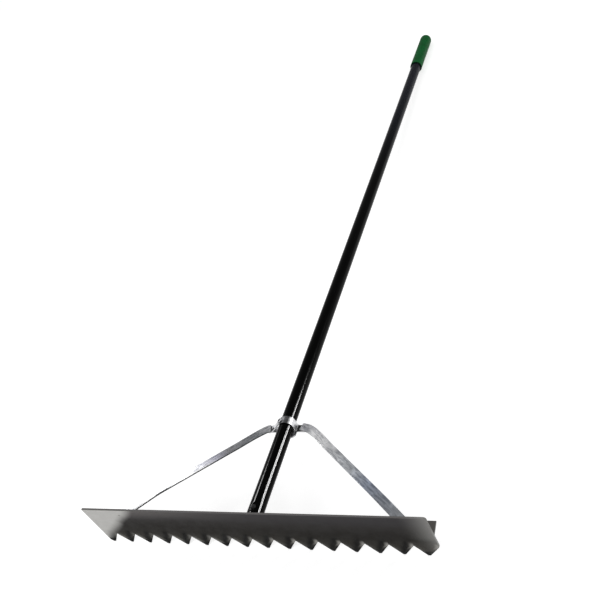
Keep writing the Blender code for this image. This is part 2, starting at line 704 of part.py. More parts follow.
def make_fasteners():
    nut = (NUT_ACROSS_FLATS, NUT_HEIGHT, BOLT_DIAMETER)
    clamp_nut = (CLAMP_NUT_ACROSS_FLATS, CLAMP_NUT_HEIGHT, CLAMP_BOLT_DIAMETER)
    clamp_under = lower_ear_z() - LOWER_BAND_THICKNESS / 2 - SEAT_GAP
    for side, x, name in ((-1, LEFT_CLAMP_BOLT_X, "left"), (1, RIGHT_CLAMP_BOLT_X, "right")):
        place = Matrix.Translation((side * x, CLAMP_BOLT_S, 0))
        tail = clamp_under - CLAMP_NUT_HEIGHT - CLAMP_BOLT_TAIL
        top = -BRACE_BELOW_AXIS - SUNK_HEAD_DROP
        sunk_head_bolt(f"{name}_clamp_bolt", top, tail, place, handle, BRIGHT_METAL)
        make_nut(f"{name}_clamp_nut", clamp_under, clamp_nut, place, handle, BRIGHT_METAL)
        place = Matrix.Translation((side * FOOT_BOLT_X, FOOT_BOLT_Y, 0))
        seat = brace_top(FOOT_BOLT_Y) + SEAT_GAP
        under = -WEB_THICKNESS / 2 - SEAT_GAP
        tail = under - NUT_HEIGHT - BOLT_TAIL
        round_head_bolt(f"{name}_foot_bolt", seat, tail, place, root, BRIGHT_METAL)
        make_nut(f"{name}_foot_nut", under, nut, place, root, BRIGHT_METAL)
    for name, s in (("front", web_bolt_s()), ("rear", REAR_BOLT_S)):
        place = Matrix.Translation((0, s, 0))
        seat = bolt_seat(s) + SEAT_GAP
        tail = -seat - NUT_HEIGHT - BOLT_TAIL
        round_head_bolt(f"{name}_handle_bolt", seat, tail, place, handle, BLACK_STEEL)
        make_nut(f"{name}_handle_nut", -seat, nut, place, handle, BLACK_STEEL)
    make_pin_screw()


def lay_down():
    """Rests the rake on its tooth tips and the end of its grip, centred over the origin."""
    dome_s = GRIP_END - GRIP_RADIUS
    dome_y = dome_s * math.cos(HANDLE_DROOP)
    dome_z = handle.location.z - dome_s * math.sin(HANDLE_DROOP)
    across = dome_y - TIP_BEVEL_DEPTH
    rise = dome_z + ROOT_DEPTH + TOOTH_LENGTH
    lean = math.asin(GRIP_RADIUS / math.hypot(across, rise)) - math.atan2(rise, across)
    root.rotation_euler = (lean, 0, 0)
    bpy.context.view_layer.update()
    graph = bpy.context.evaluated_depsgraph_get()
    corners = []
    for obj in rake.objects:
        if obj.type == "MESH":
            mesh = obj.evaluated_get(graph).to_mesh()
            corners += [obj.matrix_world @ vert.co for vert in mesh.vertices]
    low = Vector([min(corner[axis] for corner in corners) for axis in range(3)])
    high = Vector([max(corner[axis] for corner in corners) for axis in range(3)])
    root.location = (-(low.x + high.x) / 2, -(low.y + high.y) / 2, -low.z)
    bpy.context.view_layer.update()


clear_scene()
rake = new_collection("lute_rake")
cutters = new_collection("cutters")
cutters.hide_render = True
root = bpy.data.objects.new("lute_rake_root", None)
rake.objects.link(root)
handle = bpy.data.objects.new("handle_axis", None)
rake.objects.link(handle)
handle.parent = root
handle.location = (0, 0, AXIS_CROSSES_WEB * math.tan(HANDLE_DROOP))
handle.rotation_euler = (-HANDLE_DROOP, 0, 0)

make_head()
make_tube()
make_grip()
braces = {
    "left": make_brace("left_brace", -1, LEFT_BRACE_END),
    "right": make_brace("right_brace", 1, RIGHT_BRACE_END),
}
make_clamp()
make_fasteners()
lay_down()
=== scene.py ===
import math

import bmesh
import bpy
from mathutils import Matrix, Vector


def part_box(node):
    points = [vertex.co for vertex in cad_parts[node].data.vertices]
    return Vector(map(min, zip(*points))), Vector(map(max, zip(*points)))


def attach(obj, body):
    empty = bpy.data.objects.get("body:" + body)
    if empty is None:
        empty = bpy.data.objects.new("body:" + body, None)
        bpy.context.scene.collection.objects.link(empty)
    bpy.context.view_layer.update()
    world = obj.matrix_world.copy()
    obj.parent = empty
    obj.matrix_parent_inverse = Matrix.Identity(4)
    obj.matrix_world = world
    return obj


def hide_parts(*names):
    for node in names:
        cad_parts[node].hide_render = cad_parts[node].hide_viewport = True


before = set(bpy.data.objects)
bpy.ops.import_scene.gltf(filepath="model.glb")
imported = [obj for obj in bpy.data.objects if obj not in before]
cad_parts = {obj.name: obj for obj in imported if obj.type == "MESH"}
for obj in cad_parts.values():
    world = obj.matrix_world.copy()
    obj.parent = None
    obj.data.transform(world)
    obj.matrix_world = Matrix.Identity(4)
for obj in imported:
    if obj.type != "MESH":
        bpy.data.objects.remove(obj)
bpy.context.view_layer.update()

print("frame loaded with", len(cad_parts), "CAD nodes")

# where the head and the handle lie
rakePose = {
    "lean": math.radians(3.3964),  # head tipped back until the grip end touches the floor
    "droop": math.radians(4.78),  # handle against the web of the head
    "axisCrossesWeb": 0.015,
    "headShift": -0.0021,  # middle of the head from the middle of the handle
}
plate = {
    "length": 0.6096, "thickness": 0.0032, "topEdge": 0.05, "rootDepth": 0.0304,
    "topCornerRound": 0.0045, "sharpCornerRound": 0.0006, "lowerCornerRound": 0.011,
    "edgeSoftening": 0.00035,
}
headLow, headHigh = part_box("toothed_head")
leanTurn = Matrix.Rotation(rakePose["lean"], 4, "X")
backTopCorner = leanTurn @ Vector((0, plate["thickness"], plate["topEdge"]))
frontTopCorner = leanTurn @ Vector((0, 0, plate["topEdge"]))
headPlace = Matrix.Translation((
    (headLow.x + headHigh.x) / 2 - rakePose["headShift"],
    headLow.y - frontTopCorner.y,
    headHigh.z - backTopCorner.z,
)) @ leanTurn
handlePlace = headPlace @ Matrix.Translation(
    (0, 0, rakePose["axisCrossesWeb"] * math.tan(rakePose["droop"]))
) @ Matrix.Rotation(-rakePose["droop"], 4, "X")
seatGap = 0.0003  # between pieces that sit on each other
holeClearance = 0.0004  # round a bolt
cutReach = {"foot": (-0.01, 0.02), "seat": (-0.02, 0.005), "band": (-0.03, 0.01)}  # of each cutter, down and up


def at(place, x, y):
    return place @ Matrix.Translation((x, y, 0))


def makeObject(name, bm, place):
    bmesh.ops.recalc_face_normals(bm, faces=bm.faces)
    mesh = bpy.data.meshes.new(name)
    bm.transform(place)
    bm.to_mesh(mesh)
    bm.free()
    obj = bpy.data.objects.new(name, mesh)
    bpy.context.scene.collection.objects.link(obj)
    return obj


def shadeSmooth(mesh, angle):
    mesh.shade_smooth()
    mesh.set_sharp_from_angle(angle=math.radians(angle))


def addPiece(name, bm, place, finish, node, smoothAngle=0):
    # smoothAngle 0 leaves every face flat
    obj = makeObject(name, bm, place)
    if smoothAngle:
        shadeSmooth(obj.data, smoothAngle)
    obj.data.materials.append(finish)
    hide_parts(node)
    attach(obj, "root")
    return obj


def join(obj, other, operation):
    modifier = obj.modifiers.new("shape", "BOOLEAN")
    modifier.operation = operation
    modifier.solver = "EXACT"
    modifier.object = other


def softenEdges(obj, width, angle):
    modifier = obj.modifiers.new("soft edges", "BEVEL")
    modifier.width = width
    modifier.segments = 2
    modifier.limit_method = "ANGLE"
    modifier.angle_limit = math.radians(angle)


def settle(obj, cutters, smoothAngle=0):
    # keeps the finished mesh and drops the modifiers and the cutters
    graph = bpy.context.evaluated_depsgraph_get()
    mesh = bpy.data.meshes.new_from_object(obj.evaluated_get(graph))
    obj.modifiers.clear()
    obj.data = mesh
    for other in cutters:
        bpy.data.objects.remove(other)
    if smoothAngle:
        shadeSmooth(mesh, smoothAngle)
        modifier = obj.modifiers.new("even normals", "WEIGHTED_NORMAL")
        modifier.keep_sharp = True
        modifier.weight = 90


def loft(rings, capped=True, bm=None):
    # skin over rings of points; without caps the last ring joins the first
    bm = bm or bmesh.new()
    layers = [[bm.verts.new(point) for point in ring] for ring in rings]
    joined = layers if capped else layers + layers[:1]
    count = len(rings[0])
    for low, high in zip(joined, joined[1:]):
        for i in range(count):
            j = (i + 1) % count
            bm.faces.new((low[i], low[j], high[j], high[i]))
    if capped:
        bm.faces.new(layers[0])
        bm.faces.new(layers[-1])
    return bm


def turned(profile, steps=48):
    # body of revolution about z from (radius, height) points
    bm = bmesh.new()
    verts = [bm.verts.new((radius, 0, height)) for radius, height in profile]
    edges = [bm.edges.new(pair) for pair in zip(verts, verts[1:])]
    bmesh.ops.spin(
        bm, geom=verts + edges, cent=(0, 0, 0), axis=(0, 0, 1),
        angle=math.tau, steps=steps, use_merge=True,
    )
    bmesh.ops.remove_doubles(bm, verts=bm.verts, dist=1e-6)
    return bm


def straightHole(boltDiameter, low, high):
    radius = boltDiameter / 2 + holeClearance
    return [(0, low), (radius, low), (radius, high), (0, high)]


def cutOut(obj, profile, place, x, y):
    # takes a turned body out of the piece and gives back the cutter
    bm = turned(profile)
    bm.transform(Matrix.Translation((x, y, 0)))
    cutter = makeObject("cutter", bm, place)
    join(obj, cutter, "DIFFERENCE")
    return cutter


def arc(first, last, steps):
    # directions in even steps, from degrees
    return [math.radians(first + (last - first) * step / steps) for step in range(steps + 1)]


def roundedOutline(corners, radii, steps):
    points = []
    count = len(corners)
    for i, radius in enumerate(radii):
        corner = Vector(corners[i])
        if not radius:
            points.append(corner)
            continue
        before = (Vector(corners[i - 1]) - corner).normalized()
        after = (Vector(corners[(i + 1) % count]) - corner).normalized()
        half = before.angle(after) / 2
        centre = corner + (before + after).normalized() * radius / math.sin(half)
        start = corner + before * radius / math.tan(half) - centre
        turn = math.pi - 2 * half
        if before.cross(after) > 0:
            turn = -turn
        for step in range(steps + 1):
            points.append(centre + Matrix.Rotation(turn * step / steps, 2) @ start)
    return points


class Graph:
    # a node tree that grows one node at a time
    def __init__(self, owner):
        owner.use_nodes = True
        self.tree = owner.node_tree

    def feed(self, node, sources):
        for socket, source in sources.items():
            if isinstance(source, bpy.types.NodeSocket):
                self.tree.links.new(source, node.inputs[socket])
            else:
                node.inputs[socket].default_value = source

    def add(self, kind, sources, **settings):
        node = self.tree.nodes.new("ShaderNode" + kind)
        for key, value in settings.items():
            setattr(node, key, value)
        self.feed(node, sources)
        return node


class Finish(Graph):
    # a Principled material, its patterns laid out over the place on the rake
    def __init__(self, name, roughness, metallic=0.0, gloss=0.5):
        self.material = bpy.data.materials.new(name)
        super().__init__(self.material)
        self.shader = self.tree.nodes["Principled BSDF"]
        self.feed(self.shader, {"Roughness": roughness, "Metallic": metallic, "Specular IOR Level": gloss})
        self.place = self.add("TexCoord", {}).outputs["Object"]

    def within(self, place):
        # surface positions measured in the frame of the head or the handle
        back = place.inverted()
        sources = {"Vector": self.place, "Location": back.translation, "Rotation": back.to_euler()}
        return self.add("Mapping", sources).outputs["Vector"]

    def axes(self, where):
        return self.add("SeparateXYZ", {"Vector": where}).outputs

    def grain(self, where, scale, detail=3, roughness=0.55, distortion=0, stretch=None):
        if stretch:
            where = self.add("Mapping", {"Vector": where, "Scale": stretch}).outputs["Vector"]
        sources = {"Vector": where, "Scale": scale, "Detail": detail, "Roughness": roughness}
        return self.add("TexNoise", {**sources, "Distortion": distortion}).outputs["Fac"]

    def calc(self, operation, first, second=0):
        return self.add("Math", {0: first, 1: second}, operation=operation).outputs["Value"]

    def product(self, first, *others):
        for other in others:
            first = self.calc("MULTIPLY", first, other)
        return first

    def spread(self, source, low, high, toLow=0.0, toHigh=1.0, smooth=True):
        sources = {"Value": source, "From Min": low, "From Max": high, "To Min": toLow, "To Max": toHigh}
        easing = "SMOOTHSTEP" if smooth else "LINEAR"
        return self.add("MapRange", sources, interpolation_type=easing).outputs["Result"]

    def distance(self, source, middle):
        return self.calc("ABSOLUTE", self.calc("SUBTRACT", source, middle))

    def bell(self, source, middle, reach):
        # 1 at the middle, easing to 0 at the reach on both sides
        return self.spread(self.distance(source, middle), reach, 0)

    def ramp(self, share, stops):
        node = self.add("ValToRGB", {"Fac": share})
        elements = node.color_ramp.elements
        elements[0].position, elements[-1].position = stops[0][0], stops[-1][0]
        elements[0].color, elements[-1].color = (*stops[0][1], 1), (*stops[-1][1], 1)
        for position, colour in stops[1:-1]:
            elements.new(position).color = (*colour, 1)
        return node.outputs["Color"]

    def rampAlong(self, distance, stops):
        # colours at distances along a piece
        low, high = stops[0][0], stops[-1][0]
        share = self.spread(distance, low, high, smooth=False)
        return self.ramp(share, [((s - low) / (high - low), colour) for s, colour in stops])

    def blend(self, share, first, second, kind="MIX"):
        first, second = ((*tint, 1.0) if isinstance(tint, tuple) else tint for tint in (first, second))
        sources = {0: share, 6: first, 7: second}
        return self.add("Mix", sources, data_type="RGBA", blend_type=kind).outputs[2]

    def finish(self, colour, roughness, *bumps):
        # a bump is its height, strength and distance, laid over the one before
        sources = {"Base Color": colour, "Roughness": roughness}
        for height, strength, distance in bumps:
            node = self.add("Bump", {"Height": height, "Strength": strength, "Distance": distance})
            self.feed(node, {"Normal": sources["Normal"]} if "Normal" in sources else {})
            sources["Normal"] = node.outputs["Normal"]
        self.feed(self.shader, sources)
        return self.material


def tone(*levels):
    # screen levels, 0 to 255, as a linear colour
    shares = [level / 255 for level in levels]
    return tuple(share / 12.92 if share < 0.04 else ((share + 0.055) / 1.055) ** 2.4 for share in shares)


def grey(level):
    return (level, level, level)


def cool(level):
    return (level, level, level + 0.01)


finishes = {}
teeth = {
    "count": 16, "pitch": 0.03885, "length": 0.0282, "firstTip": 0.0067,
    "tipLean": 0.0028, "tipHalf": 0.002, "tipRound": 0.0012, "rootHalf": 0.0005,
    "flankWidth": 0.005, "flankDepth": 0.0008, "tipBevelLength": 0.0074, "tipBevelDepth": 0.0014,
    "endLedge": 0.0008,
}
flankRun = teeth["pitch"] / 2 - teeth["rootHalf"] - teeth["tipHalf"]
web = {"reach": 0.0254, "thickness": 0.0032, "fillet": 0.002, "endInset": 0.0005}


def headEnd(side):
    return rakePose["headShift"] + side * plate["length"] / 2


headTones = {
    "upperLeft": tone(100, 97, 96), "leftReflection": tone(199, 198, 195), "right": tone(156, 155, 152),
    "ridgeShade": tone(6, 6, 5), "lastTooth": tone(62, 60, 57), "flankGlint": tone(136, 134, 129),
    "rootGlint": tone(166, 164, 159), "tips": tone(2, 2, 2), "topLine": tone(66, 64, 64),
    "leftReflectionLine": tone(160, 163, 152), "topFace": tone(104, 102, 102), "web": tone(56, 54, 52),
    "webEnd": tone(100, 98, 95), "endFace": tone(160, 160, 158), "mark": tone(120, 118, 112),
}
headZones = {
    # limits on each axis between which a zone eases in, and the share it starts and ends with
    "lowerRight": {"X": (0.02, 0.12), "Z": (0.006, -0.012, 0, 0.16)},
    "upperLeft": {"X": (0.06, -0.24), "Z": (0.02, 0.05)},
    "lastTooth": {"X": (0.252, 0.262), "Z": (-0.012, -0.022)},
    "patchSide": {"X": (-0.2, 0.1, 0.25, 0.9)},
    "flankPart": {"Z": (-0.022, -0.038), "X": (0.06, -0.06, 0.2, 0.8)},
    "front": {"Y": (0.0045, 0.0035)},
    "rightLow": {"Z": (-0.002, -0.022)},
    "tips": {"Z": (-0.041, -0.0485)},
    "darkLine": {"X": (-0.16, 0.03)},
    "leftReflectionLine": {"X": (-0.195, -0.22)},
    "topLine": {"Z": (0.0484, 0.0494), "Y": (0.0045, 0.0035)},
    "topFace": {"Z": (0.0496, 0.0499)},
    "webEnd": {"X": (0.22, 0.28)},
    "web": {"Y": (0.0045, 0.0055)},
    "endFace": {"X": (headEnd(1) - 0.0008, headEnd(1) - 0.0003), "Z": (0.03, 0)},
}
headSteelLook = {
    "heightTones": (  # height above the web and the tone there, a painted shading that is darkest near the web and paler towards the top edge
        (-0.058, tone(56, 54, 50)), (-0.03, tone(50, 48, 44)), (-0.014, tone(40, 38, 35)),
        (0.002, tone(38, 36, 34)), (0.018, tone(48, 46, 45)), (0.03, tone(56, 54, 55)),
        (0.05, tone(63, 61, 63)),
    ),
    "ridgeLean": 0.417,
    "ridgeMiddle": 0.0257,  # of the first tooth, from the left end
    "ridgeReach": 0.25,  # of the pitch
    "ridgeHeights": (0.006, -0.03),
    "ridgeShares": ((0, grey(0)), (0.5, grey(0.22)), (0.68, grey(0.9)), (1, grey(0.98))),
    "lastToothShare": 0.8,
    "toothReach": (-0.0586, -0.0304, 0.05, 0.5),  # half a tooth's width from tip to root, of the pitch
    "patchPlace": (0.06, 0.16),  # in from the right flank and reach, of the pitch
    "patchHeight": (-0.03, 0.0125), "flankFade": (0.4, 0.04), "leftReflectionSlope": 1.0,
    "leftReflectionLimit": (-0.2455, -0.2807), "leftReflectionWander": (0.3, 0.7, -0.004, 0.004),
    "rightLimit": (0.255, 0.31), "rightHold": 1.6, "markPlace": (-0.2363, 0.034),
    "markSize": (0.0042, 0.001), "markFlatness": 1.6, "markShare": 0.8,
    # scale, detail, roughness, distortion and stretch of each noise, here and in the other looks
    "mottle": (55, 6, 0.65), "cloud": (21, 3, 0.5), "drag": (5, 5, 0.6, 0, (6, 60, 110)),
    "wearShares": (0.6, 0.4), "wear": ((0.35, grey(0.42)), (0.65, grey(0.58))),
    "wearStrength": 0.55, "roughness": (0.42, 0.6), "mottleBump": (0.2, 0.0004),
    "dragBump": (0.1, 0.0003),
}


def makeHeadSteel():
    look, tones = headSteelLook, headTones
    steel = Finish("charcoal head steel", 0.5, gloss=0.03)
    head = steel.within(headPlace)
    axes = steel.axes(head)
    x, z = axes["X"], axes["Z"]
    # painted shading: the plate's tone changes with height
    colour = steel.rampAlong(z, look["heightTones"])

    def zone(name):
        return steel.product(*(steel.spread(axes[axis], *limits) for axis, limits in headZones[name].items()))

    def paint(share, key):
        nonlocal colour
        colour = steel.blend(share, colour, tones[key])

    def without(share):
        return steel.calc("SUBTRACT", 1.0, share)

    def acrossTooth(lean, firstMiddle):
        # -0.5 to 0.5 across each tooth, in teeth that lean by this much
        along = steel.calc("SUBTRACT", x, steel.product(z, lean))
        along = steel.calc("DIVIDE", steel.calc("SUBTRACT", along, firstMiddle), teeth["pitch"])
        return steel.calc("SUBTRACT", steel.calc("FRACT", steel.calc("ADD", along, 0.5)), 0.5)

    mottle = steel.grain(head, *look["mottle"])
    cloudy = steel.grain(head, *look["cloud"])
    drag = steel.grain(head, *look["drag"])
    # painted shade low on the right half of the plate, painted light on its upper left
    paint(zone("lowerRight"), "ridgeShade")
    paint(zone("upperLeft"), "upperLeft")
    # each tooth: painted shade down its ridge, painted reflection on its flanks and in a patch beside the right
    # root
    lean = teeth["tipLean"] / teeth["length"]
    local = acrossTooth(lean, headEnd(-1) + teeth["firstTip"] + plate["rootDepth"] * lean)
    leaning = acrossTooth(look["ridgeLean"], headEnd(-1) + look["ridgeMiddle"])
    lower = steel.ramp(steel.spread(z, *look["ridgeHeights"], smooth=False), look["ridgeShares"])
    lastTooth = zone("lastTooth")
    ridgeShade = steel.product(steel.bell(leaning, 0.0, look["ridgeReach"]), lower, without(lastTooth))
    paint(ridgeShade, "ridgeShade")
    paint(steel.product(lastTooth, look["lastToothShare"]), "lastTooth")
    reach = steel.spread(z, *look["toothReach"], False)
    rootGlint = steel.product(
        steel.bell(steel.calc("SUBTRACT", reach, local), *look["patchPlace"]),
        steel.bell(z, *look["patchHeight"]), zone("patchSide"),
    )
    paint(rootGlint, "rootGlint")
    flankGlint = steel.product(steel.spread(steel.calc("ADD", local, reach), *look["flankFade"]), zone("flankPart"))
    paint(flankGlint, "flankGlint")
    # painted reflection: paler left end with a soft slanted limit
    slant = steel.calc("SUBTRACT", x, steel.product(z, look["leftReflectionSlope"]))
    slant = steel.calc("ADD", slant, steel.spread(cloudy, *look["leftReflectionWander"], False))
    paint(steel.spread(slant, *look["leftReflectionLimit"]), "leftReflection")
    # small mark near the top of the left end
    markX, markZ = look["markPlace"]
    above = steel.product(steel.distance(z, markZ), look["markFlatness"])
    away = steel.calc("ADD", steel.distance(x, markX), above)
    mark = steel.product(steel.spread(away, *look["markSize"]), look["markShare"])
    paint(mark, "mark")
    # fine mill streaks, mottling and near-black tooth ends
    wear = (steel.product(noise, share) for noise, share in zip((mottle, drag), look["wearShares"]))
    worn = steel.ramp(steel.calc("ADD", *wear), look["wear"])
    colour = steel.blend(look["wearStrength"], colour, worn, "OVERLAY")
    paint(zone("tips"), "tips")
    # cut edge along the top, paler at the left under the painted reflection there, painted highlight on the top
    # face, web behind the plate, painted reflection paling the right end, end face paler in its lower half
    topLine = steel.blend(zone("darkLine"), tones["upperLeft"], tones["topLine"])
    topLine = steel.blend(zone("leftReflectionLine"), topLine, tones["leftReflectionLine"])
    colour = steel.blend(zone("topLine"), colour, topLine)
    # painted highlight on the top face
    paint(zone("topFace"), "topFace")
    webTone = steel.blend(zone("webEnd"), tones["web"], tones["webEnd"])
    colour = steel.blend(zone("web"), colour, webTone)
    # painted reflection paling the front of the right end
    nearRight = steel.spread(x, *look["rightLimit"], smooth=False)
    held = steel.product(zone("rightLow"), without(nearRight), look["rightHold"])
    toRight = steel.product(nearRight, nearRight, without(held), zone("front"))
    paint(toRight, "right")
    paint(zone("endFace"), "endFace")
    rough = steel.spread(mottle, 0.3, 0.7, *look["roughness"])
    return steel.finish(colour, rough, (mottle, *look["mottleBump"]), (drag, *look["dragBump"]))


def plateOutline(inset, lift, rootLift):
    tipHalf = teeth["tipHalf"] + lift * flankRun / teeth["length"] - inset
    tipZ = lift - plate["rootDepth"] - teeth["length"]
    rootZ = rootLift - plate["rootDepth"]
    tipRound = tipHalf / 2 if lift else teeth["tipRound"]
    lean = teeth["tipLean"] * (1 - lift / teeth["length"])
    corners = [(headEnd(-1), plate["topEdge"]), (headEnd(1), plate["topEdge"]), (headEnd(1), rootZ)]
    radii = [plate["sharpCornerRound"], plate["topCornerRound"], plate["lowerCornerRound"]]
    for index in reversed(range(teeth["count"])):
        middle = headEnd(-1) + teeth["firstTip"] + index * teeth["pitch"]
        if index < teeth["count"] - 1:
            rootX = middle + teeth["pitch"] / 2
            corners += [(rootX + teeth["rootHalf"], rootZ), (rootX - teeth["rootHalf"], rootZ)]
            radii += [0, 0]
        corners += [(middle - lean + tipHalf, tipZ), (middle - lean - tipHalf, tipZ)]
        radii += [tipRound] * 2
    endRise = (teeth["firstTip"] - teeth["tipLean"] - teeth["tipHalf"]) * teeth["length"] / flankRun
    if lift:
        corners[-1] = (headEnd(-1) + teeth["endLedge"], tipZ)
    corners.append((headEnd(-1), tipZ + (teeth["endLedge"] if lift else endRise)))
    radii.append(0)
    return roundedOutline(corners, radii, 4)


def webSection():
    half = web["thickness"] / 2
    middle = plate["thickness"] + web["fillet"]
    soft = plate["sharpCornerRound"]
    section = [
        (web["reach"], half - soft), (web["reach"] - soft * 0.3, half - soft * 0.3), (web["reach"] - soft, half),
    ]
    for turn in arc(270, 180, 6):
        y = middle + web["fillet"] * math.cos(turn)
        section.append((y, half + web["fillet"] * (1 + math.sin(turn))))
    section.append((plate["thickness"] / 2, half + web["fillet"]))
    return section + [(y, -z) for y, z in reversed(section)]


def makeHead():
    inset = teeth["flankWidth"] * math.hypot(flankRun, teeth["length"]) / teeth["length"]
    rootLift = inset * teeth["length"] / flankRun
    front = plateOutline(inset, teeth["tipBevelLength"], rootLift)
    full = plateOutline(0, 0, 0)
    deep = teeth["tipBevelDepth"] - teeth["flankDepth"]
    middleZ = -plate["rootDepth"] - teeth["length"] / 2
    bm = loft([
        [(x, 0, z) for x, z in front],
        [(x, teeth["flankDepth"] + deep * (z < middleZ), z) for x, z in full],
        [(x, plate["thickness"], z) for x, z in full],
    ])
    head = addPiece("head_bar", bm, headPlace, finishes["head"], "toothed_head")
    softenEdges(head, plate["edgeSoftening"], 28)
    ends = (headEnd(-1) + web["endInset"], headEnd(1) - web["endInset"])
    webPiece = makeObject("web", loft([[(x, y, z) for y, z in webSection()] for x in ends]), headPlace)
    join(head, webPiece, "UNION")
    settle(head, [webPiece])


finishes["head"] = makeHeadSteel()
makeHead()
print("head made")

tube = {
    "diameter": 0.0273, "wall": 0.0016, "start": 0.0052, "end": 1.769,
    "lip": 0.0003, "slotEnd": 0.027, "pressedLength": 0.06, "pressedWidening": 0.05,
    "steps": 112,
    "closeRings": 92,  # rings over the pressed part
    "closeStep": 0.0006, "farRings": 24,
    "seatRise": 70,  # how fast the metal rises round a bolt seat
}
handleBolts = {"rear": 0.0342, "front": rakePose["axisCrossesWeb"] / math.cos(rakePose["droop"])}
boltSizes = {
    "diameter": 0.0058, "headDiameter": 0.0095, "headHeight": 0.0028, "tail": 0.002,
    "seatDiameter": 0.012, "seatDepth": 0.0007, "seatMargin": 0.0004, "nutFlats": 0.01,
    "nutHeight": 0.005,
    "headSide": 0.15,  # share of the height before the dome
    "threadLength": 0.009,
}
tubeLook = {
    "lower": tone(2, 2, 2), "upper": tone(25, 27, 35),
    "upward": (0.95, 1.55),  # from the glossy lower part to the duller upper part
    "line": tone(60, 62, 70), "lines": (6, 5, 0.65, 0, (40, 2, 40)),
    "lineShare": (0.62, 0.8, 0, 0.3), "cloud": (30, 4, 0.55, 0, (1, 0.35, 1)),
    "roughness": (0.08, 0.12), "roughnessUpward": 0.2, "bump": (0.01, 0.0005),
}


def makeTubeBlack():
    look = tubeLook
    black = Finish("gloss black coat", 0.1, gloss=0.035)
    handle = black.within(handlePlace)
    lines = black.grain(handle, *look["lines"])
    cloud = black.grain(handle, *look["cloud"])
    upward = black.spread(black.axes(handle)["Y"], *look["upward"])
    colour = black.blend(upward, look["lower"], look["upper"])
    colour = black.blend(black.spread(lines, *look["lineShare"]), colour, look["line"])
    rough = black.spread(cloud, 0.3, 0.7, *look["roughness"])
    rough = black.calc("ADD", rough, black.product(upward, look["roughnessUpward"]))
    return black.finish(colour, rough, (cloud, *look["bump"]))


def pressedEase(s):
    left = min(max(1 - s / tube["pressedLength"], 0), 1)
    return tube["pressedWidening"] * left * (2 - left)


def boltSeat(s):
    return tube["diameter"] / 2 * (1 - pressedEase(s)) - boltSizes["seatDepth"]


def tubeRing(radius, s, seated):
    ease = pressedEase(s)
    ring = []
    for i in range(tube["steps"]):
        turn = math.tau * i / tube["steps"]
        x = radius * math.cos(turn) * (1 + ease)
        z = radius * math.sin(turn) * (1 - ease)
        for boltS in handleBolts.values() if seated else ():
            # the flat pressed in under each bolt head and nut
            away = math.hypot(x, s - boltS) - boltSizes["seatDiameter"] / 2 + boltSizes["seatMargin"]
            limit = boltSeat(boltS) + tube["seatRise"] * max(away, 0) ** 2
            z = math.copysign(min(abs(z), limit), z)
        ring.append((x, s, z))
    return ring


def makeTube():
    outer = tube["diameter"] / 2
    inner = outer - tube["wall"]
    lip = tube["lip"]
    stations = [tube["start"] + tube["closeStep"] * i for i in range(tube["closeRings"])]
    left = tube["end"] - stations[-1]
    stations += [stations[-1] + left * i / tube["farRings"] for i in range(1, tube["farRings"] + 1)]
    places = [(outer - lip, stations[0]), (outer, stations[0] + lip)]
    places += [(outer, s) for s in stations[1:-1]] + [(outer, stations[-1] - lip), (outer - lip, stations[-1])]
    places += [(inner, s) for s in reversed(stations[:1] + stations[20::20] + stations[-1:])]
    bm = loft([tubeRing(radius, s, radius > inner) for radius, s in places], capped=False)
    pipe = addPiece("handle_pipe", bm, handlePlace, finishes["tube"], "handle_tube")
    slotSize = (2 * tube["diameter"], 2 * tube["slotEnd"], web["thickness"] + 2 * seatGap, 1)
    bm = bmesh.new()
    bmesh.ops.create_cube(bm, size=1, matrix=Matrix.Diagonal(slotSize))
    slot = makeObject("cutter", bm, headPlace)
    join(pipe, slot, "DIFFERENCE")
    settle(pipe, [slot], 32)


finishes["tube"] = makeTubeBlack()
makeTube()
print("tube made")

grip = {
    "diameter": 0.034, "start": 1.588, "end": 1.784, "edgeRound": 0.0014,
    "boreShown": 0.012, "boreChamfer": 0.0008,
    "waist": 0.00018,  # where the palm closes on it
    "bodyRings": 40, "domeRings": 18, "steps": 112,
}
gripLook = {
    "colours": (tone(9, 80, 35), tone(19, 98, 48)), "rubbed": tone(50, 120, 74),
    "dark": tone(8, 38, 20),  # painted shade in the lip at the open end, and a darker dome
    "rubShare": (0.62, 0.76, 0, 0.4), "lip": (0.0022, 0.0008), "dome": (0.012, 0.002),
    "domeShare": 0.6, "skin": (900, 3, 0.6), "cloud": (38, 4),
    "rub": (120, 4, 0.7, 0, (1, 0.25, 1)), "roughness": (0.38, 0.52),
    "skinBump": (0.35, 0.0002), "cloudBump": (0.1, 0.001),
}


def makeGripGreen():
    look = gripLook
    green = Finish("moulded green sleeve", 0.45, gloss=0.03)
    handle = green.within(handlePlace)
    s = green.axes(handle)["Y"]
    skin = green.grain(handle, *look["skin"])
    cloud = green.grain(handle, *look["cloud"])
    rub = green.grain(handle, *look["rub"])
    colour = green.blend(green.spread(cloud, 0.3, 0.7), *look["colours"])
    colour = green.blend(green.spread(rub, *look["rubShare"]), colour, look["rubbed"])
    # painted shade in the lip at the open end, and the dome darkened
    lip = green.spread(s, *(grip["start"] + reach for reach in look["lip"]))
    dome = green.product(green.spread(s, *(grip["end"] - reach for reach in look["dome"])), look["domeShare"])
    colour = green.blend(green.calc("MAXIMUM", lip, dome), colour, look["dark"])
    rough = green.spread(cloud, 0.3, 0.7, *look["roughness"])
    return green.finish(colour, rough, (skin, *look["skinBump"]), (cloud, *look["cloudBump"]))


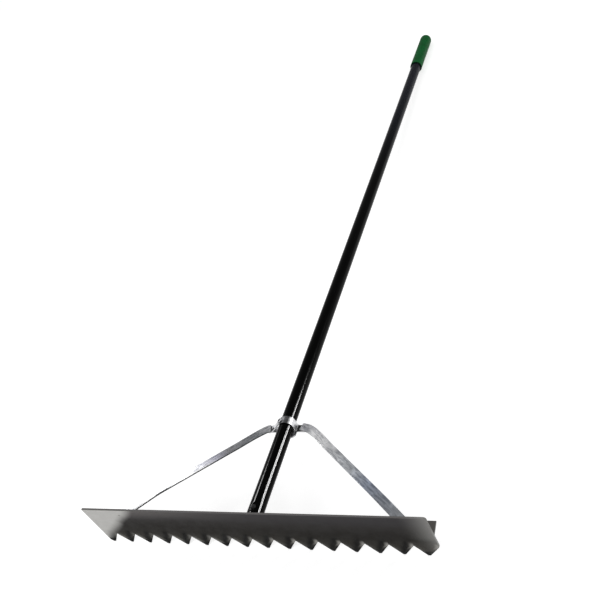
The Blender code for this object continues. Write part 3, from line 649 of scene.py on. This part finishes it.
def makeGrip():
    outer = grip["diameter"] / 2
    bore = tube["diameter"] / 2 + seatGap
    soft = grip["edgeRound"]
    start = grip["start"]
    domeStart = grip["end"] - outer
    boreEnd = (bore, start + grip["boreShown"])
    profile = [boreEnd, (bore, start + grip["boreChamfer"]), (bore + grip["boreChamfer"], start)]
    for turn in arc(0, 90, 5):
        profile.append((outer - soft * (1 - math.sin(turn)), start + soft * (1 - math.cos(turn))))
    for step in range(1, grip["bodyRings"]):
        share = step / grip["bodyRings"]
        radius = outer - grip["waist"] * math.sin(math.pi * share) ** 2
        profile.append((radius, start + soft + (domeStart - start - soft) * share))
    for turn in arc(0, 90, grip["domeRings"])[:-1]:
        profile.append((outer * math.cos(turn), domeStart + outer * math.sin(turn)))
    profile += [(0, grip["end"]), (0, tube["end"] + seatGap), (bore, tube["end"] + seatGap), boreEnd]
    bm = turned(profile, grip["steps"])
    bm.transform(Matrix.Rotation(-math.pi / 2, 4, "X"))
    addPiece("grip_sleeve", bm, handlePlace, finishes["grip"], "grip", 40)


finishes["grip"] = makeGripGreen()
makeGrip()
print("grip made")

brace = {
    "width": 0.016, "thickness": 0.003, "edgeRound": 0.0006, "belowAxis": 0.005,
    "left": 0.034, "right": 0.0255,  # where the bars end on the clamp
    "endSlope": 0.3, "elbowStart": (0.04, 0.2125), "elbowCorner": (0.055, 0.205),
    "elbowEnd": (0.083, 0.1765), "elbowSteps": 12, "foot": (0.2644, 0.0102), "runSteps": 40,
    "foldY": 0.06, "levelY": 0.202, "foldLength": 0.008, "cornerRound": 0.0015,
    "endPinch": 0.75,  # thickness left at the very ends
}
sides = {"left": -1, "right": 1}
footBolt = (0.2571, 0.017)
clampBolt = {
    "s": 0.216, "left": -0.04, "right": 0.0345, "diameter": 0.0045,
    "headDiameter": 0.008, "headHeight": 0.0018, "headEdge": 0.0002, "drop": 0.0002,
    "seatClearance": 0.00005, "socketRadius": 0.0012, "socketDepth": 0.0003, "drillPoint": 0.0001,
    "threadLength": 0.006, "tail": 0.0004, "nutFlats": 0.0072, "nutHeight": 0.0026,
}
metalLook = {
    "streaks": (5.5, 6, 0.65, 0.3, (55, 7, 55)), "scratches": (26, 4, 0.7, 0, (55, 7, 55)),
    "patches": (60, 5, 0.6, 0.4), "streakShare": (0.44, 0.6, 0, 0.6),
    "streakTone": tone(155, 158, 164), "patchShare": (0.52, 0.68, 0, 0.45),
    "patchGain": grey(1.6), "rimFade": 0.0028,
    "sideLimits": (0.75, 0.35),  # of the upward part of the normal
    "scratchBump": (0.07, 0.0003), "patchBump": (0.08, 0.0008),
}
braceLook = {
    # place along the bar, from the foot up to the clamp, and the metal's tone there, painted as reflections and
    # shade
    "left": (
        (-0.188, grey(0.92)), (-0.065, cool(0.92)), (-0.04, cool(0.8)),
        (-0.015, (0.52, 0.52, 0.56)), (0.01, (0.3, 0.3, 0.35)), (0.035, cool(0.2)),
        (0.09, (0.2, 0.21, 0.22)), (0.122, cool(0.4)),
    ),
    "right": (
        (-0.188, (0.36, 0.37, 0.38)), (-0.125, (0.34, 0.36, 0.4)), (-0.075, (0.37, 0.41, 0.5)),
        (-0.03, (0.56, 0.58, 0.61)), (0.03, (0.72, 0.73, 0.75)), (0.07, cool(0.95)),
        (0.096, cool(0.95)), (0.108, (0.58, 0.58, 0.6)), (0.122, (0.52, 0.52, 0.54)),
    ),
    # painted shade along the inner rim of the left bar, darkest a little above the foot
    "rim": (
        (-0.188, grey(0.5)), (-0.124, grey(0.46)), (-0.104, grey(0.12)), (-0.088, grey(0.07)),
        (-0.083, grey(0.46)), (-0.02, grey(0.5)), (0.02, grey(0.32)),
    ),
    "rimWidth": 0.004,
}


def makeBrightMetal(name, place, turn, tones, roughness=(0.24, 0.42), sideShade=0.16, rim=None):
    # tones run along the bar, and so do those of its rim, which starts at a distance across it
    look = metalLook
    bright = Finish(name, 0.34, metallic=1.0)
    bar = bright.within(place @ Matrix.Rotation(turn, 4, "Z"))
    across, run, _ = bright.axes(bar)
    streaks, scratches, patches = (bright.grain(bar, *look[key]) for key in ("streaks", "scratches", "patches"))
    # for the bars and bands these tones are painted reflections and shade; the screws get one even tone
    colour = bright.rampAlong(run, tones)
    colour = bright.blend(bright.spread(streaks, *look["streakShare"]), colour, look["streakTone"], "MULTIPLY")
    paler = bright.blend(1.0, colour, look["patchGain"], "MULTIPLY")
    colour = bright.blend(bright.spread(patches, *look["patchShare"]), colour, paler)
    # painted shade along the rim
    if rim:
        start, rimTones = rim
        near = bright.spread(across, start, start + look["rimFade"])
        fading = bright.spread(run, rimTones[-1][0], rimTones[-2][0])
        colour = bright.blend(bright.product(near, fading), colour, bright.rampAlong(run, rimTones))
    # painted shade: faces turned sideways are darkened
    facing = bright.axes(bright.add("NewGeometry", {}).outputs["Normal"])["Z"]
    side = bright.spread(bright.calc("ABSOLUTE", facing), *look["sideLimits"])
    colour = bright.blend(side, colour, bright.blend(1.0, colour, grey(sideShade), "MULTIPLY"))
    rough = bright.spread(patches, 0.3, 0.7, *roughness)
    return bright.finish(colour, rough, (scratches, *look["scratchBump"]), (patches, *look["patchBump"]))


def bend(start, corner, stop, steps):
    shares = [step / steps for step in range(steps + 1)]
    return [start * (1 - t) ** 2 + corner * 2 * t * (1 - t) + stop * t * t for t in shares]


def bracePath(endX):
    places = [Vector(brace[key]) for key in ("elbowStart", "elbowCorner", "elbowEnd", "foot")]
    start, corner, stop, foot = places
    points = [Vector((endX, start.y + (start.x - endX) * brace["endSlope"]))]
    points += bend(start, corner, stop, brace["elbowSteps"])
    steps = brace["runSteps"]
    return points + [stop.lerp(foot, step / steps) for step in range(1, steps + 1)]


def rampUp(distance, length):
    if distance < -length:
        return 0
    if distance > length:
        return distance
    return (distance + length) ** 2 / (4 * length)


def braceTop(y):
    foot = web["thickness"] / 2 + seatGap + brace["thickness"]
    levelSlope = math.tan(rakePose["droop"])
    level = (rakePose["axisCrossesWeb"] - brace["levelY"]) * levelSlope
    level -= brace["belowAxis"] / math.cos(rakePose["droop"])
    slope = (foot - level) / (brace["levelY"] - brace["foldY"])
    fold = slope * rampUp(y - brace["foldY"], brace["foldLength"])
    rise = (slope - levelSlope) * rampUp(y - brace["levelY"], brace["foldLength"])
    return foot - fold + rise


def braceSection(half, shrink):
    # rounded bar section as (across, down) points
    soft = brace["edgeRound"]
    middle = brace["thickness"] / 2
    points = []
    for cx, cz, first in ((1, 0, 90), (1, 1, 0), (-1, 1, -90), (-1, 0, -180)):
        for turn in arc(first, first - 90, 3):
            x = cx * (half - soft) + soft * math.cos(turn)
            down = cz * brace["thickness"] + (soft if cz == 0 else -soft) - soft * math.sin(turn)
            points.append((x, middle + (down - middle) * shrink))
    return points


def roundedEnd(point, along, inward):
    # closing stations with rounded corners, the outermost thinner
    half, corner = brace["width"] / 2, brace["cornerRound"]
    stations = [(point, along, half - corner, brace["endPinch"])]
    for angle in (25, 50, 90):
        turn = math.radians(angle)
        offset = along * inward * corner * (1 - math.cos(turn))
        stations.append((point + offset, along, half - corner * (1 - math.sin(turn)), 1))
    return stations


def makeBrace(name):
    path = bracePath(brace[name])
    stations = roundedEnd(path[0], (path[1] - path[0]).normalized(), 1)
    for before, point, after in zip(path, path[1:], path[2:]):
        stations.append((point, (after - before).normalized(), brace["width"] / 2, 1))
    stations += roundedEnd(path[-1], (path[-1] - path[-2]).normalized(), -1)[::-1]
    rings = []
    for point, along, half, shrink in stations:
        across = Vector((-along.y, along.x))
        ring = []
        for reach, down in braceSection(half, shrink):
            x, y = point + across * reach
            ring.append((sides[name] * x, y, braceTop(y) - down))
        rings.append(ring)
    finish = finishes[f"{name}Brace"]
    bar = addPiece(f"brace_{name}", loft(rings), headPlace, finish, f"{name}_brace")
    footHole = straightHole(boltSizes["diameter"], *cutReach["foot"])
    footCutter = cutOut(bar, footHole, headPlace, sides[name] * footBolt[0], footBolt[1])
    wide = clampBolt["headDiameter"] / 2 + clampBolt["seatClearance"]
    narrow = clampBolt["diameter"] / 2 + seatGap
    top = -brace["belowAxis"] - clampBolt["drop"]
    low = top - clampBolt["headHeight"]
    deep, high = cutReach["seat"]
    seat = [(0, high), (wide, high), (wide, top), (narrow, low), (narrow, deep), (0, deep)]
    seatCutter = cutOut(bar, seat, handlePlace, clampBolt[name], clampBolt["s"])
    settle(bar, [footCutter, seatCutter], 40)


def makeBraces():
    run = Vector(brace["foot"]) - Vector(brace["elbowEnd"])
    braceTurn = math.atan2(run.x, -run.y)  # main run of a brace against the handle
    foot = Vector((-brace["foot"][0], brace["foot"][1], 0))
    rimStart = (Matrix.Rotation(braceTurn, 4, "Z") @ foot).x + brace["width"] / 2 - braceLook["rimWidth"]
    for name, sign in sides.items():
        rim = (rimStart, braceLook["rim"]) if name == "left" else None
        turn = sign * braceTurn
        finishes[f"{name}Brace"] = makeBrightMetal(f"bright bar {name}", headPlace, turn, braceLook[name], rim=rim)
        makeBrace(name)


makeBraces()
print("braces made")

clamp = {
    "lowerDepth": 0.0163, "leftEar": -0.0462, "rightEar": 0.0407, "earFront": 0.2106,
    "earBack": 0.2235, "trimSize": (0.04, 0.02, 0.01), "bend": 0.003, "bendSteps": 8,
    "archSteps": 40, "bowlSteps": 30, "edgeSoftening": 0.00045, "sideShade": 0.8,
}
bands = {
    "upper": {"width": 0.015, "thickness": 0.002, "middle": 0.217, "knees": (-0.0315, 0.0158)},
    "lower": {"width": 0.0225, "thickness": 0.0025, "middle": 0.21325, "knees": (-0.014, 0.014)},
}
clampTones = {
    # place across the handle, left to right, and the metal's tone there: painted highlights, reflections and shade
    # across the bands
    "upper": (
        (-0.04, cool(0.8)), (-0.024, cool(0.8)), (-0.018, cool(0.42)),
        (-0.014, cool(0.45)), (-0.006, cool(0.26)), (0.003, (0.15, 0.15, 0.155)),
        (0.0074, (0.12, 0.12, 0.123)), (0.009, cool(0.92)), (0.0166, cool(0.92)),
        (0.0172, grey(0.04)), (0.0245, grey(0.04)), (0.0262, cool(0.55)),
        (0.04, cool(0.6)),
    ),
    "lower": (
        (-0.04, cool(0.8)), (0.008, cool(0.5)), (0.013, cool(0.85)), (0.04, cool(0.7)),
    ),
}
upperEarZ = -brace["belowAxis"] - brace["thickness"] - seatGap - bands["upper"]["thickness"] / 2
lowerEarZ = upperEarZ - bands["upper"]["thickness"] / 2 - seatGap - bands["lower"]["thickness"] / 2


def bandOutline(path, thickness):
    ways = [(after - before).normalized() for before, after in zip(path, path[1:])]
    outline = []
    for sign in (1, -1):
        line = []
        for point, before, after in zip(path, ways[:1] + ways, ways + ways[-1:]):
            across = (before + after).normalized()
            across = Vector((-across.y, across.x))
            stretch = max(across.dot(Vector((-before.y, before.x))), 0.5)
            line.append(point + across * sign * thickness / 2 / stretch)
        outline += line[::sign]
    return outline


def kneePath(first, knee, last):
    # straight to the knee, round it and straight on
    before = (first - knee).normalized()
    after = (last - knee).normalized()
    reach = clamp["bend"] / math.tan(before.angle(after) / 2)
    return [first, *bend(knee + before * reach, knee, knee + after * reach, clamp["bendSteps"]), last]


def tangentArc(left, right, radius):
    # arc that touches the lines from both knees
    angles = []
    for x, z, side in ((*left, -1), (*right, 1)):
        angles.append(math.atan2(z, side * x) + math.acos(radius / math.hypot(x, z)))
    first, last = math.pi - angles[0], angles[1]
    steps = clamp["archSteps"]
    turns = [first + (last - first) * step / steps for step in range(steps + 1)]
    return [Vector((radius * math.cos(turn), radius * math.sin(turn))) for turn in turns]


def makeBand(name, path):
    band = bands[name]
    outline = bandOutline(path, band["thickness"])
    bm = loft([[(x, band["middle"] + away * band["width"] / 2, z) for x, z in outline] for away in (-1, 1)])
    strap = addPiece(f"clamp_{name}_band", bm, handlePlace, finishes[f"{name}Band"], f"{name}_clamp")
    length, depth, height = clamp["trimSize"]
    bm = bmesh.new()
    for knee in band["knees"]:
        x = knee + math.copysign(clamp["bend"] + length / 2, knee)
        for edge in (clamp["earFront"] - depth / 2, clamp["earBack"] + depth / 2):
            place = Matrix.Translation((x, edge, lowerEarZ)) @ Matrix.Diagonal((length, depth, height, 1))
            bmesh.ops.create_cube(bm, size=1, matrix=place)
    trim = makeObject("cutter", bm, handlePlace)
    join(strap, trim, "DIFFERENCE")
    softenEdges(strap, clamp["edgeSoftening"], 40)
    hole = straightHole(clampBolt["diameter"], *cutReach["band"])
    cutters = [cutOut(strap, hole, handlePlace, clampBolt[side], clampBolt["s"]) for side in sides]
    settle(strap, [trim] + cutters, 40)


def makeClamp():
    upper, lower = bands["upper"], bands["lower"]
    left, right = (Vector((knee, upperEarZ)) for knee in upper["knees"])
    arch = tangentArc(left, right, tube["diameter"] / 2 + seatGap + upper["thickness"] / 2)
    path = kneePath(Vector((clamp["leftEar"], upperEarZ)), left, arch[0])[:-1] + arch
    makeBand("upper", path + kneePath(arch[-1], right, Vector((clamp["rightEar"], upperEarZ)))[1:])
    knee = lower["knees"][1]
    depth = lowerEarZ + clamp["lowerDepth"] + lower["thickness"] / 2
    corners = [(clamp["leftEar"], lowerEarZ), (-knee - clamp["bend"] / 2, lowerEarZ)]
    for turn in arc(180, 360, clamp["bowlSteps"])[1:-1]:
        corners.append((knee * math.cos(turn), lowerEarZ + depth * math.sin(turn)))
    corners += [(knee + clamp["bend"] / 2, lowerEarZ), (clamp["rightEar"], lowerEarZ)]
    makeBand("lower", [Vector(corner) for corner in corners])


for name, tones in clampTones.items():
    finishes[f"{name}Band"] = makeBrightMetal(
        f"bright {name} band", handlePlace, -math.pi / 2, tones, sideShade=clamp["sideShade"]
    )
makeClamp()
print("clamp made")

thread = {
    "pitch": 0.001, "depth": 0.00045,
    "tipDepth": 1.4,  # of the depth, at the very end
    "rings": 5,  # in one pitch
    "steps": 24,
}
nutShape = {
    "levels": (0, 0.08, 0.16, 0.84, 0.92, 1),  # rings as shares of the height
    "chamferHeight": 0.16, "chamferRadius": 0.9, "steps": 60,
}
pinScrew = {
    "s": 0.2148, "lean": math.radians(28), "diameter": 0.0042, "headDiameter": 0.0092,
    "headHeight": 0.0028,
    "headSide": 0.3,  # share of the height before the dome
    "recessDiameter": 0.0056, "recessDepth": 0.0006,
    "recessFloor": 0.8,  # of its diameter
    "recessEdge": 0.0002, "drillPoint": 0.0004, "reach": 0.0065,
}
screwMetals = {
    # name, tone and roughness
    "bolt": ("bright bolt", (0.62, 0.62, 0.64), (0.2, 0.34)),
    "pin": ("dull pin screw", cool(0.8), (0.24, 0.38)),
}
speckledLooks = {
    "blackBolt": {
        "shader": ("blackened bolt steel", 0.34, 0.7, 0.5),  # name, roughness, metallic, gloss
        "noise": (420, 5, 0.7), "share": (0.55, 0.75, 0, 0.6),
        "tones": ((0.018, 0.018, 0.019), grey(0.12)), "roughness": (0.28, 0.5),
        "bump": (0.2, 0.0001),
    },
    # painted shade: the screw recess is coloured near black
    "recessShade": {
        "shader": ("painted shade in the screw recess", 0.7, 0.0, 0.02), "noise": (900, 4, 0.7),
        "share": (0.45, 0.7), "tones": (tone(3, 3, 3), tone(22, 21, 20)),
        "roughness": (0.7, 0.7), "bump": (0.3, 0.0002),
    },
}


def makeSpeckled(look):
    coat = Finish(*look["shader"])
    noise = coat.grain(coat.place, *look["noise"])
    colour = coat.blend(coat.spread(noise, *look["share"]), *look["tones"])
    rough = coat.spread(noise, 0.3, 0.7, *look["roughness"])
    return coat.finish(colour, rough, (noise, *look["bump"]))


def ringAt(z, steps, radiusAt):
    # points round the axis, their radius by the share of a turn
    ring = []
    for i in range(steps):
        share = i / steps
        radius = radiusAt(share)
        ring.append((radius * math.cos(math.tau * share), radius * math.sin(math.tau * share), z))
    return ring


def threadedShank(bm, sizes, top, under):
    # a shank whose surface winds into a thread and ends a little past the nut
    radius, pitch = sizes["diameter"] / 2, thread["pitch"]
    tail = under - sizes["nutHeight"] - sizes["tail"]
    start = tail + sizes["threadLength"]
    levels = [top]
    z = min(start, top)
    while z > tail + pitch / 2:
        levels.append(z)
        z -= pitch / thread["rings"]
    rings = []
    for z in levels:
        grown = min(max((start - z) / pitch, 0), 1)
        depth = thread["depth"] * grown * grown * (3 - 2 * grown)
        rings.append(ringAt(
            z, thread["steps"], lambda share: radius - depth * abs(((z / pitch - share) % 1) * 2 - 1)
        ))
    rings.append(ringAt(tail, thread["steps"], lambda share: radius - thread["depth"] * thread["tipDepth"]))
    loft(rings, bm=bm)


def addFastener(kind, side, bm, place, look, smoothAngle=35):
    finish, slot = look
    addPiece(f"{kind}_{side}", bm, place, finish, f"{side}_{kind}", smoothAngle)


def headDome(sizes, inner, seat, steps):
    # from the top of a screw head out and down to its seat
    wide, straight = sizes["headDiameter"] / 2, sizes["headSide"]
    points = []
    for turn in arc(0, 90, steps)[1:]:
        rise = straight + (1 - straight) * math.cos(turn)
        points.append((inner + (wide - inner) * math.sin(turn), seat + sizes["headHeight"] * rise))
    return points + [(wide, seat)]


def roundHeadBolt(kind, side, seat, under, place, look):
    bm = turned([(0, seat + boltSizes["headHeight"]), *headDome(boltSizes, 0, seat, 8), (0, seat)])
    threadedShank(bm, boltSizes, seat, under)
    addFastener(kind, side, bm, place, look)


def sunkHeadBolt(kind, side, under, place, look):
    wide, shank = clampBolt["headDiameter"] / 2, clampBolt["diameter"] / 2
    edge, socket = clampBolt["headEdge"], clampBolt["socketRadius"]
    top = -brace["belowAxis"] - clampBolt["drop"]
    floor, low = top - clampBolt["socketDepth"], top - clampBolt["headHeight"]
    profile = [(0, floor - clampBolt["drillPoint"]), (socket, floor), (socket + edge, top)]
    bm = turned(profile + [(wide - edge, top), (wide, top - edge), (shank, low), (0, low)])
    threadedShank(bm, clampBolt, low, under)
    addFastener(kind, side, bm, place, look)


def makeNut(kind, side, top, place, look, sizes):
    flats, height = sizes["nutFlats"] / 2, sizes["nutHeight"]
    bore = sizes["diameter"] / 2 + seatGap
    taper, steps = nutShape["chamferRadius"], nutShape["steps"]
    rings = []
    for level in nutShape["levels"]:
        inside = min(min(level, 1 - level) / nutShape["chamferHeight"], 1)
        cone = flats / math.cos(math.pi / 6) * (taper + (1 - taper) * inside)
        rings.append(ringAt(
            top - height * level, steps,
            lambda share: min(flats / math.cos(math.tau * share % (math.pi / 3) - math.pi / 6), cone),
        ))
    rings += [ringAt(z, steps, lambda share: bore) for z in (top - height, top)]
    addFastener(kind, side, loft(rings, capped=False), place, look, 25)


def makePinScrew():
    recess, shank = pinScrew["recessDiameter"] / 2, pinScrew["diameter"] / 2
    edge = pinScrew["recessEdge"]
    seat = tube["diameter"] / 2 + 2 * seatGap + bands["upper"]["thickness"]
    top = seat + pinScrew["headHeight"]
    floor = top - pinScrew["recessDepth"]
    end = tube["diameter"] / 2 - pinScrew["reach"]
    profile = [(0, floor - pinScrew["drillPoint"]), (recess * pinScrew["recessFloor"], floor)]
    profile += [(recess, top - edge), (recess + edge, top), *headDome(pinScrew, recess + 2 * edge, seat, 7)]
    profile += [(shank, seat), (shank, end + shank / 2), (shank / 2, end), (0, end)]
    place = at(handlePlace, 0, pinScrew["s"]) @ Matrix.Rotation(-pinScrew["lean"], 4, "Y")
    screw = addPiece("clamp_pin_screw", turned(profile), place, finishes["pin"], "clamp_screw", 35)
    # the recess is painted black as shade
    screw.data.materials.append(finishes["recessShade"])
    inward = place.inverted()
    for face in screw.data.polygons:
        centre = inward @ face.center
        if math.hypot(centre.x, centre.y) < recess + edge / 2 and centre.z > floor - edge * 3:
            face.material_index = 1


def makeFasteners():
    bright = (finishes["bolt"], "bright_metal")
    black = (finishes["blackBolt"], "black_steel")
    underClamp = lowerEarZ - bands["lower"]["thickness"] / 2 - seatGap
    underWeb = -web["thickness"] / 2 - seatGap
    for side, sign in sides.items():
        place = at(handlePlace, clampBolt[side], clampBolt["s"])
        sunkHeadBolt("clamp_bolt", side, underClamp, place, (finishes[f"{side}Brace"], "bright_metal"))
        makeNut("clamp_nut", side, underClamp, place, bright, clampBolt)
        place = at(headPlace, sign * footBolt[0], footBolt[1])
        roundHeadBolt("foot_bolt", side, braceTop(footBolt[1]) + seatGap, underWeb, place, bright)
        makeNut("foot_nut", side, underWeb, place, bright, boltSizes)
    for side, s in handleBolts.items():
        place = at(handlePlace, 0, s)
        seat = boltSeat(s) + seatGap
        roundHeadBolt("handle_bolt", side, seat, -seat, place, black)
        makeNut("handle_nut", side, -seat, place, black, boltSizes)


for key, (name, colour, roughness) in screwMetals.items():
    finishes[key] = makeBrightMetal(name, handlePlace, 0, ((-1, colour), (1, colour)), roughness)
for key, look in speckledLooks.items():
    finishes[key] = makeSpeckled(look)
makeFasteners()
makePinScrew()
print("fasteners made")

studio = {"floorSize": 14.0, "floorTone": 0.72, "floorGlow": 0.64, "worldTone": 0.5}
lamps = {
    # name: place, aim, width, height, watts, what it lights
    "front": ((-1.0, -3.4, 1.7), (0.0, -0.9, 0.0), 1.8, 1.8, 34, "all"),
    "left": ((-1.4, 0.2, 1.24), (-0.1, -0.8, 0.05), 0.75, 0.62, 6.0, "all"),
    "right": ((2.08, 0.74, 1.03), (0.0, -0.7, 0.05), 0.75, 0.42, 14, "all"),
    "tubeLine": ((2.08, 0.74, 1.03), (0.0, -0.7, 0.05), 0.6, 0.9, 720, "tube"),
    "tubeLineLeft": ((-1.4, -0.02, 1.32), (0.0, -0.85, 0.05), 0.85, 0.3, 76, "tube"),
}
cameraLook = {
    # place and directions in the head's own frame
    "eye": (0.6573, -0.5667, 1.046), "right": (0.90192, 0.23605, -0.36163),
    "ahead": (-0.42311, 0.65046, -0.63084), "lens": 49.26,
    "frameShift": 0.5 / 600, "clip": (0.05, 60),
}


def makeFloor():
    bm = bmesh.new()
    bmesh.ops.create_grid(bm, x_segments=1, y_segments=1, size=studio["floorSize"] / 2)
    floor = makeObject("floor", bm, Matrix())
    material = bpy.data.materials.new("pale floor")
    graph = Graph(material)
    graph.tree.nodes.clear()
    # the glow shows only to the camera and in glossy surfaces
    rays = graph.add("LightPath", {}).outputs
    seen = graph.add("Math", {0: rays["Is Camera Ray"], 1: rays["Is Glossy Ray"]}, operation="MAXIMUM")
    level = graph.add("Math", {0: seen.outputs[0], 1: studio["floorGlow"]}, operation="MULTIPLY")
    glow = graph.add("Emission", {"Strength": level.outputs[0]})
    diffuse = graph.add("BsdfDiffuse", {"Color": (*grey(studio["floorTone"]), 1)})
    total = graph.add("AddShader", {0: diffuse.outputs[0], 1: glow.outputs[0]})
    graph.add("OutputMaterial", {"Surface": total.outputs[0]})
    floor.data.materials.append(material)


def makeLamps():
    tubeOnly = bpy.data.collections.new("lit by the tube lines")
    tubeOnly.objects.link(bpy.data.objects["handle_pipe"])
    for name, (place, aim, width, height, watts, target) in lamps.items():
        light = bpy.data.lights.new(name, "AREA")
        light.shape = "RECTANGLE"
        light.size, light.size_y, light.energy = width, height, watts
        obj = bpy.data.objects.new(name, light)
        obj.location = place
        obj.rotation_euler = (Vector(aim) - Vector(place)).to_track_quat("-Z", "Y").to_euler()
        bpy.context.scene.collection.objects.link(obj)
        if target == "tube":
            # these two only draw the lines of light along the glossy tube
            obj.light_linking.receiver_collection = tubeOnly
            obj.visible_diffuse = False
    world = bpy.data.worlds.new("studio")
    graph = Graph(world)
    seen = graph.add("LightPath", {}).outputs["Is Camera Ray"]
    level = graph.add("MapRange", {"Value": seen, "To Min": studio["worldTone"], "To Max": 1.0})
    graph.feed(graph.tree.nodes["Background"], {"Color": (1, 1, 1, 1), "Strength": level.outputs["Result"]})
    bpy.context.scene.world = world


def makeCamera():
    data = bpy.data.cameras.new("camera")
    data.lens = cameraLook["lens"]
    data.shift_x = -cameraLook["frameShift"]
    data.shift_y = cameraLook["frameShift"]
    data.clip_start, data.clip_end = cameraLook["clip"]
    obj = bpy.data.objects.new("camera", data)
    right = Vector(cameraLook["right"]).normalized()
    back = -Vector(cameraLook["ahead"])
    back = (back - right * back.dot(right)).normalized()
    turn = Matrix((right, back.cross(right), back)).transposed().to_4x4()
    obj.matrix_world = headPlace @ Matrix.Translation(cameraLook["eye"]) @ turn
    bpy.context.scene.collection.objects.link(obj)
    bpy.context.scene.camera = obj


makeFloor()
makeLamps()
makeCamera()
bpy.context.scene.view_settings.view_transform = "Standard"
print("studio made")

print("done")
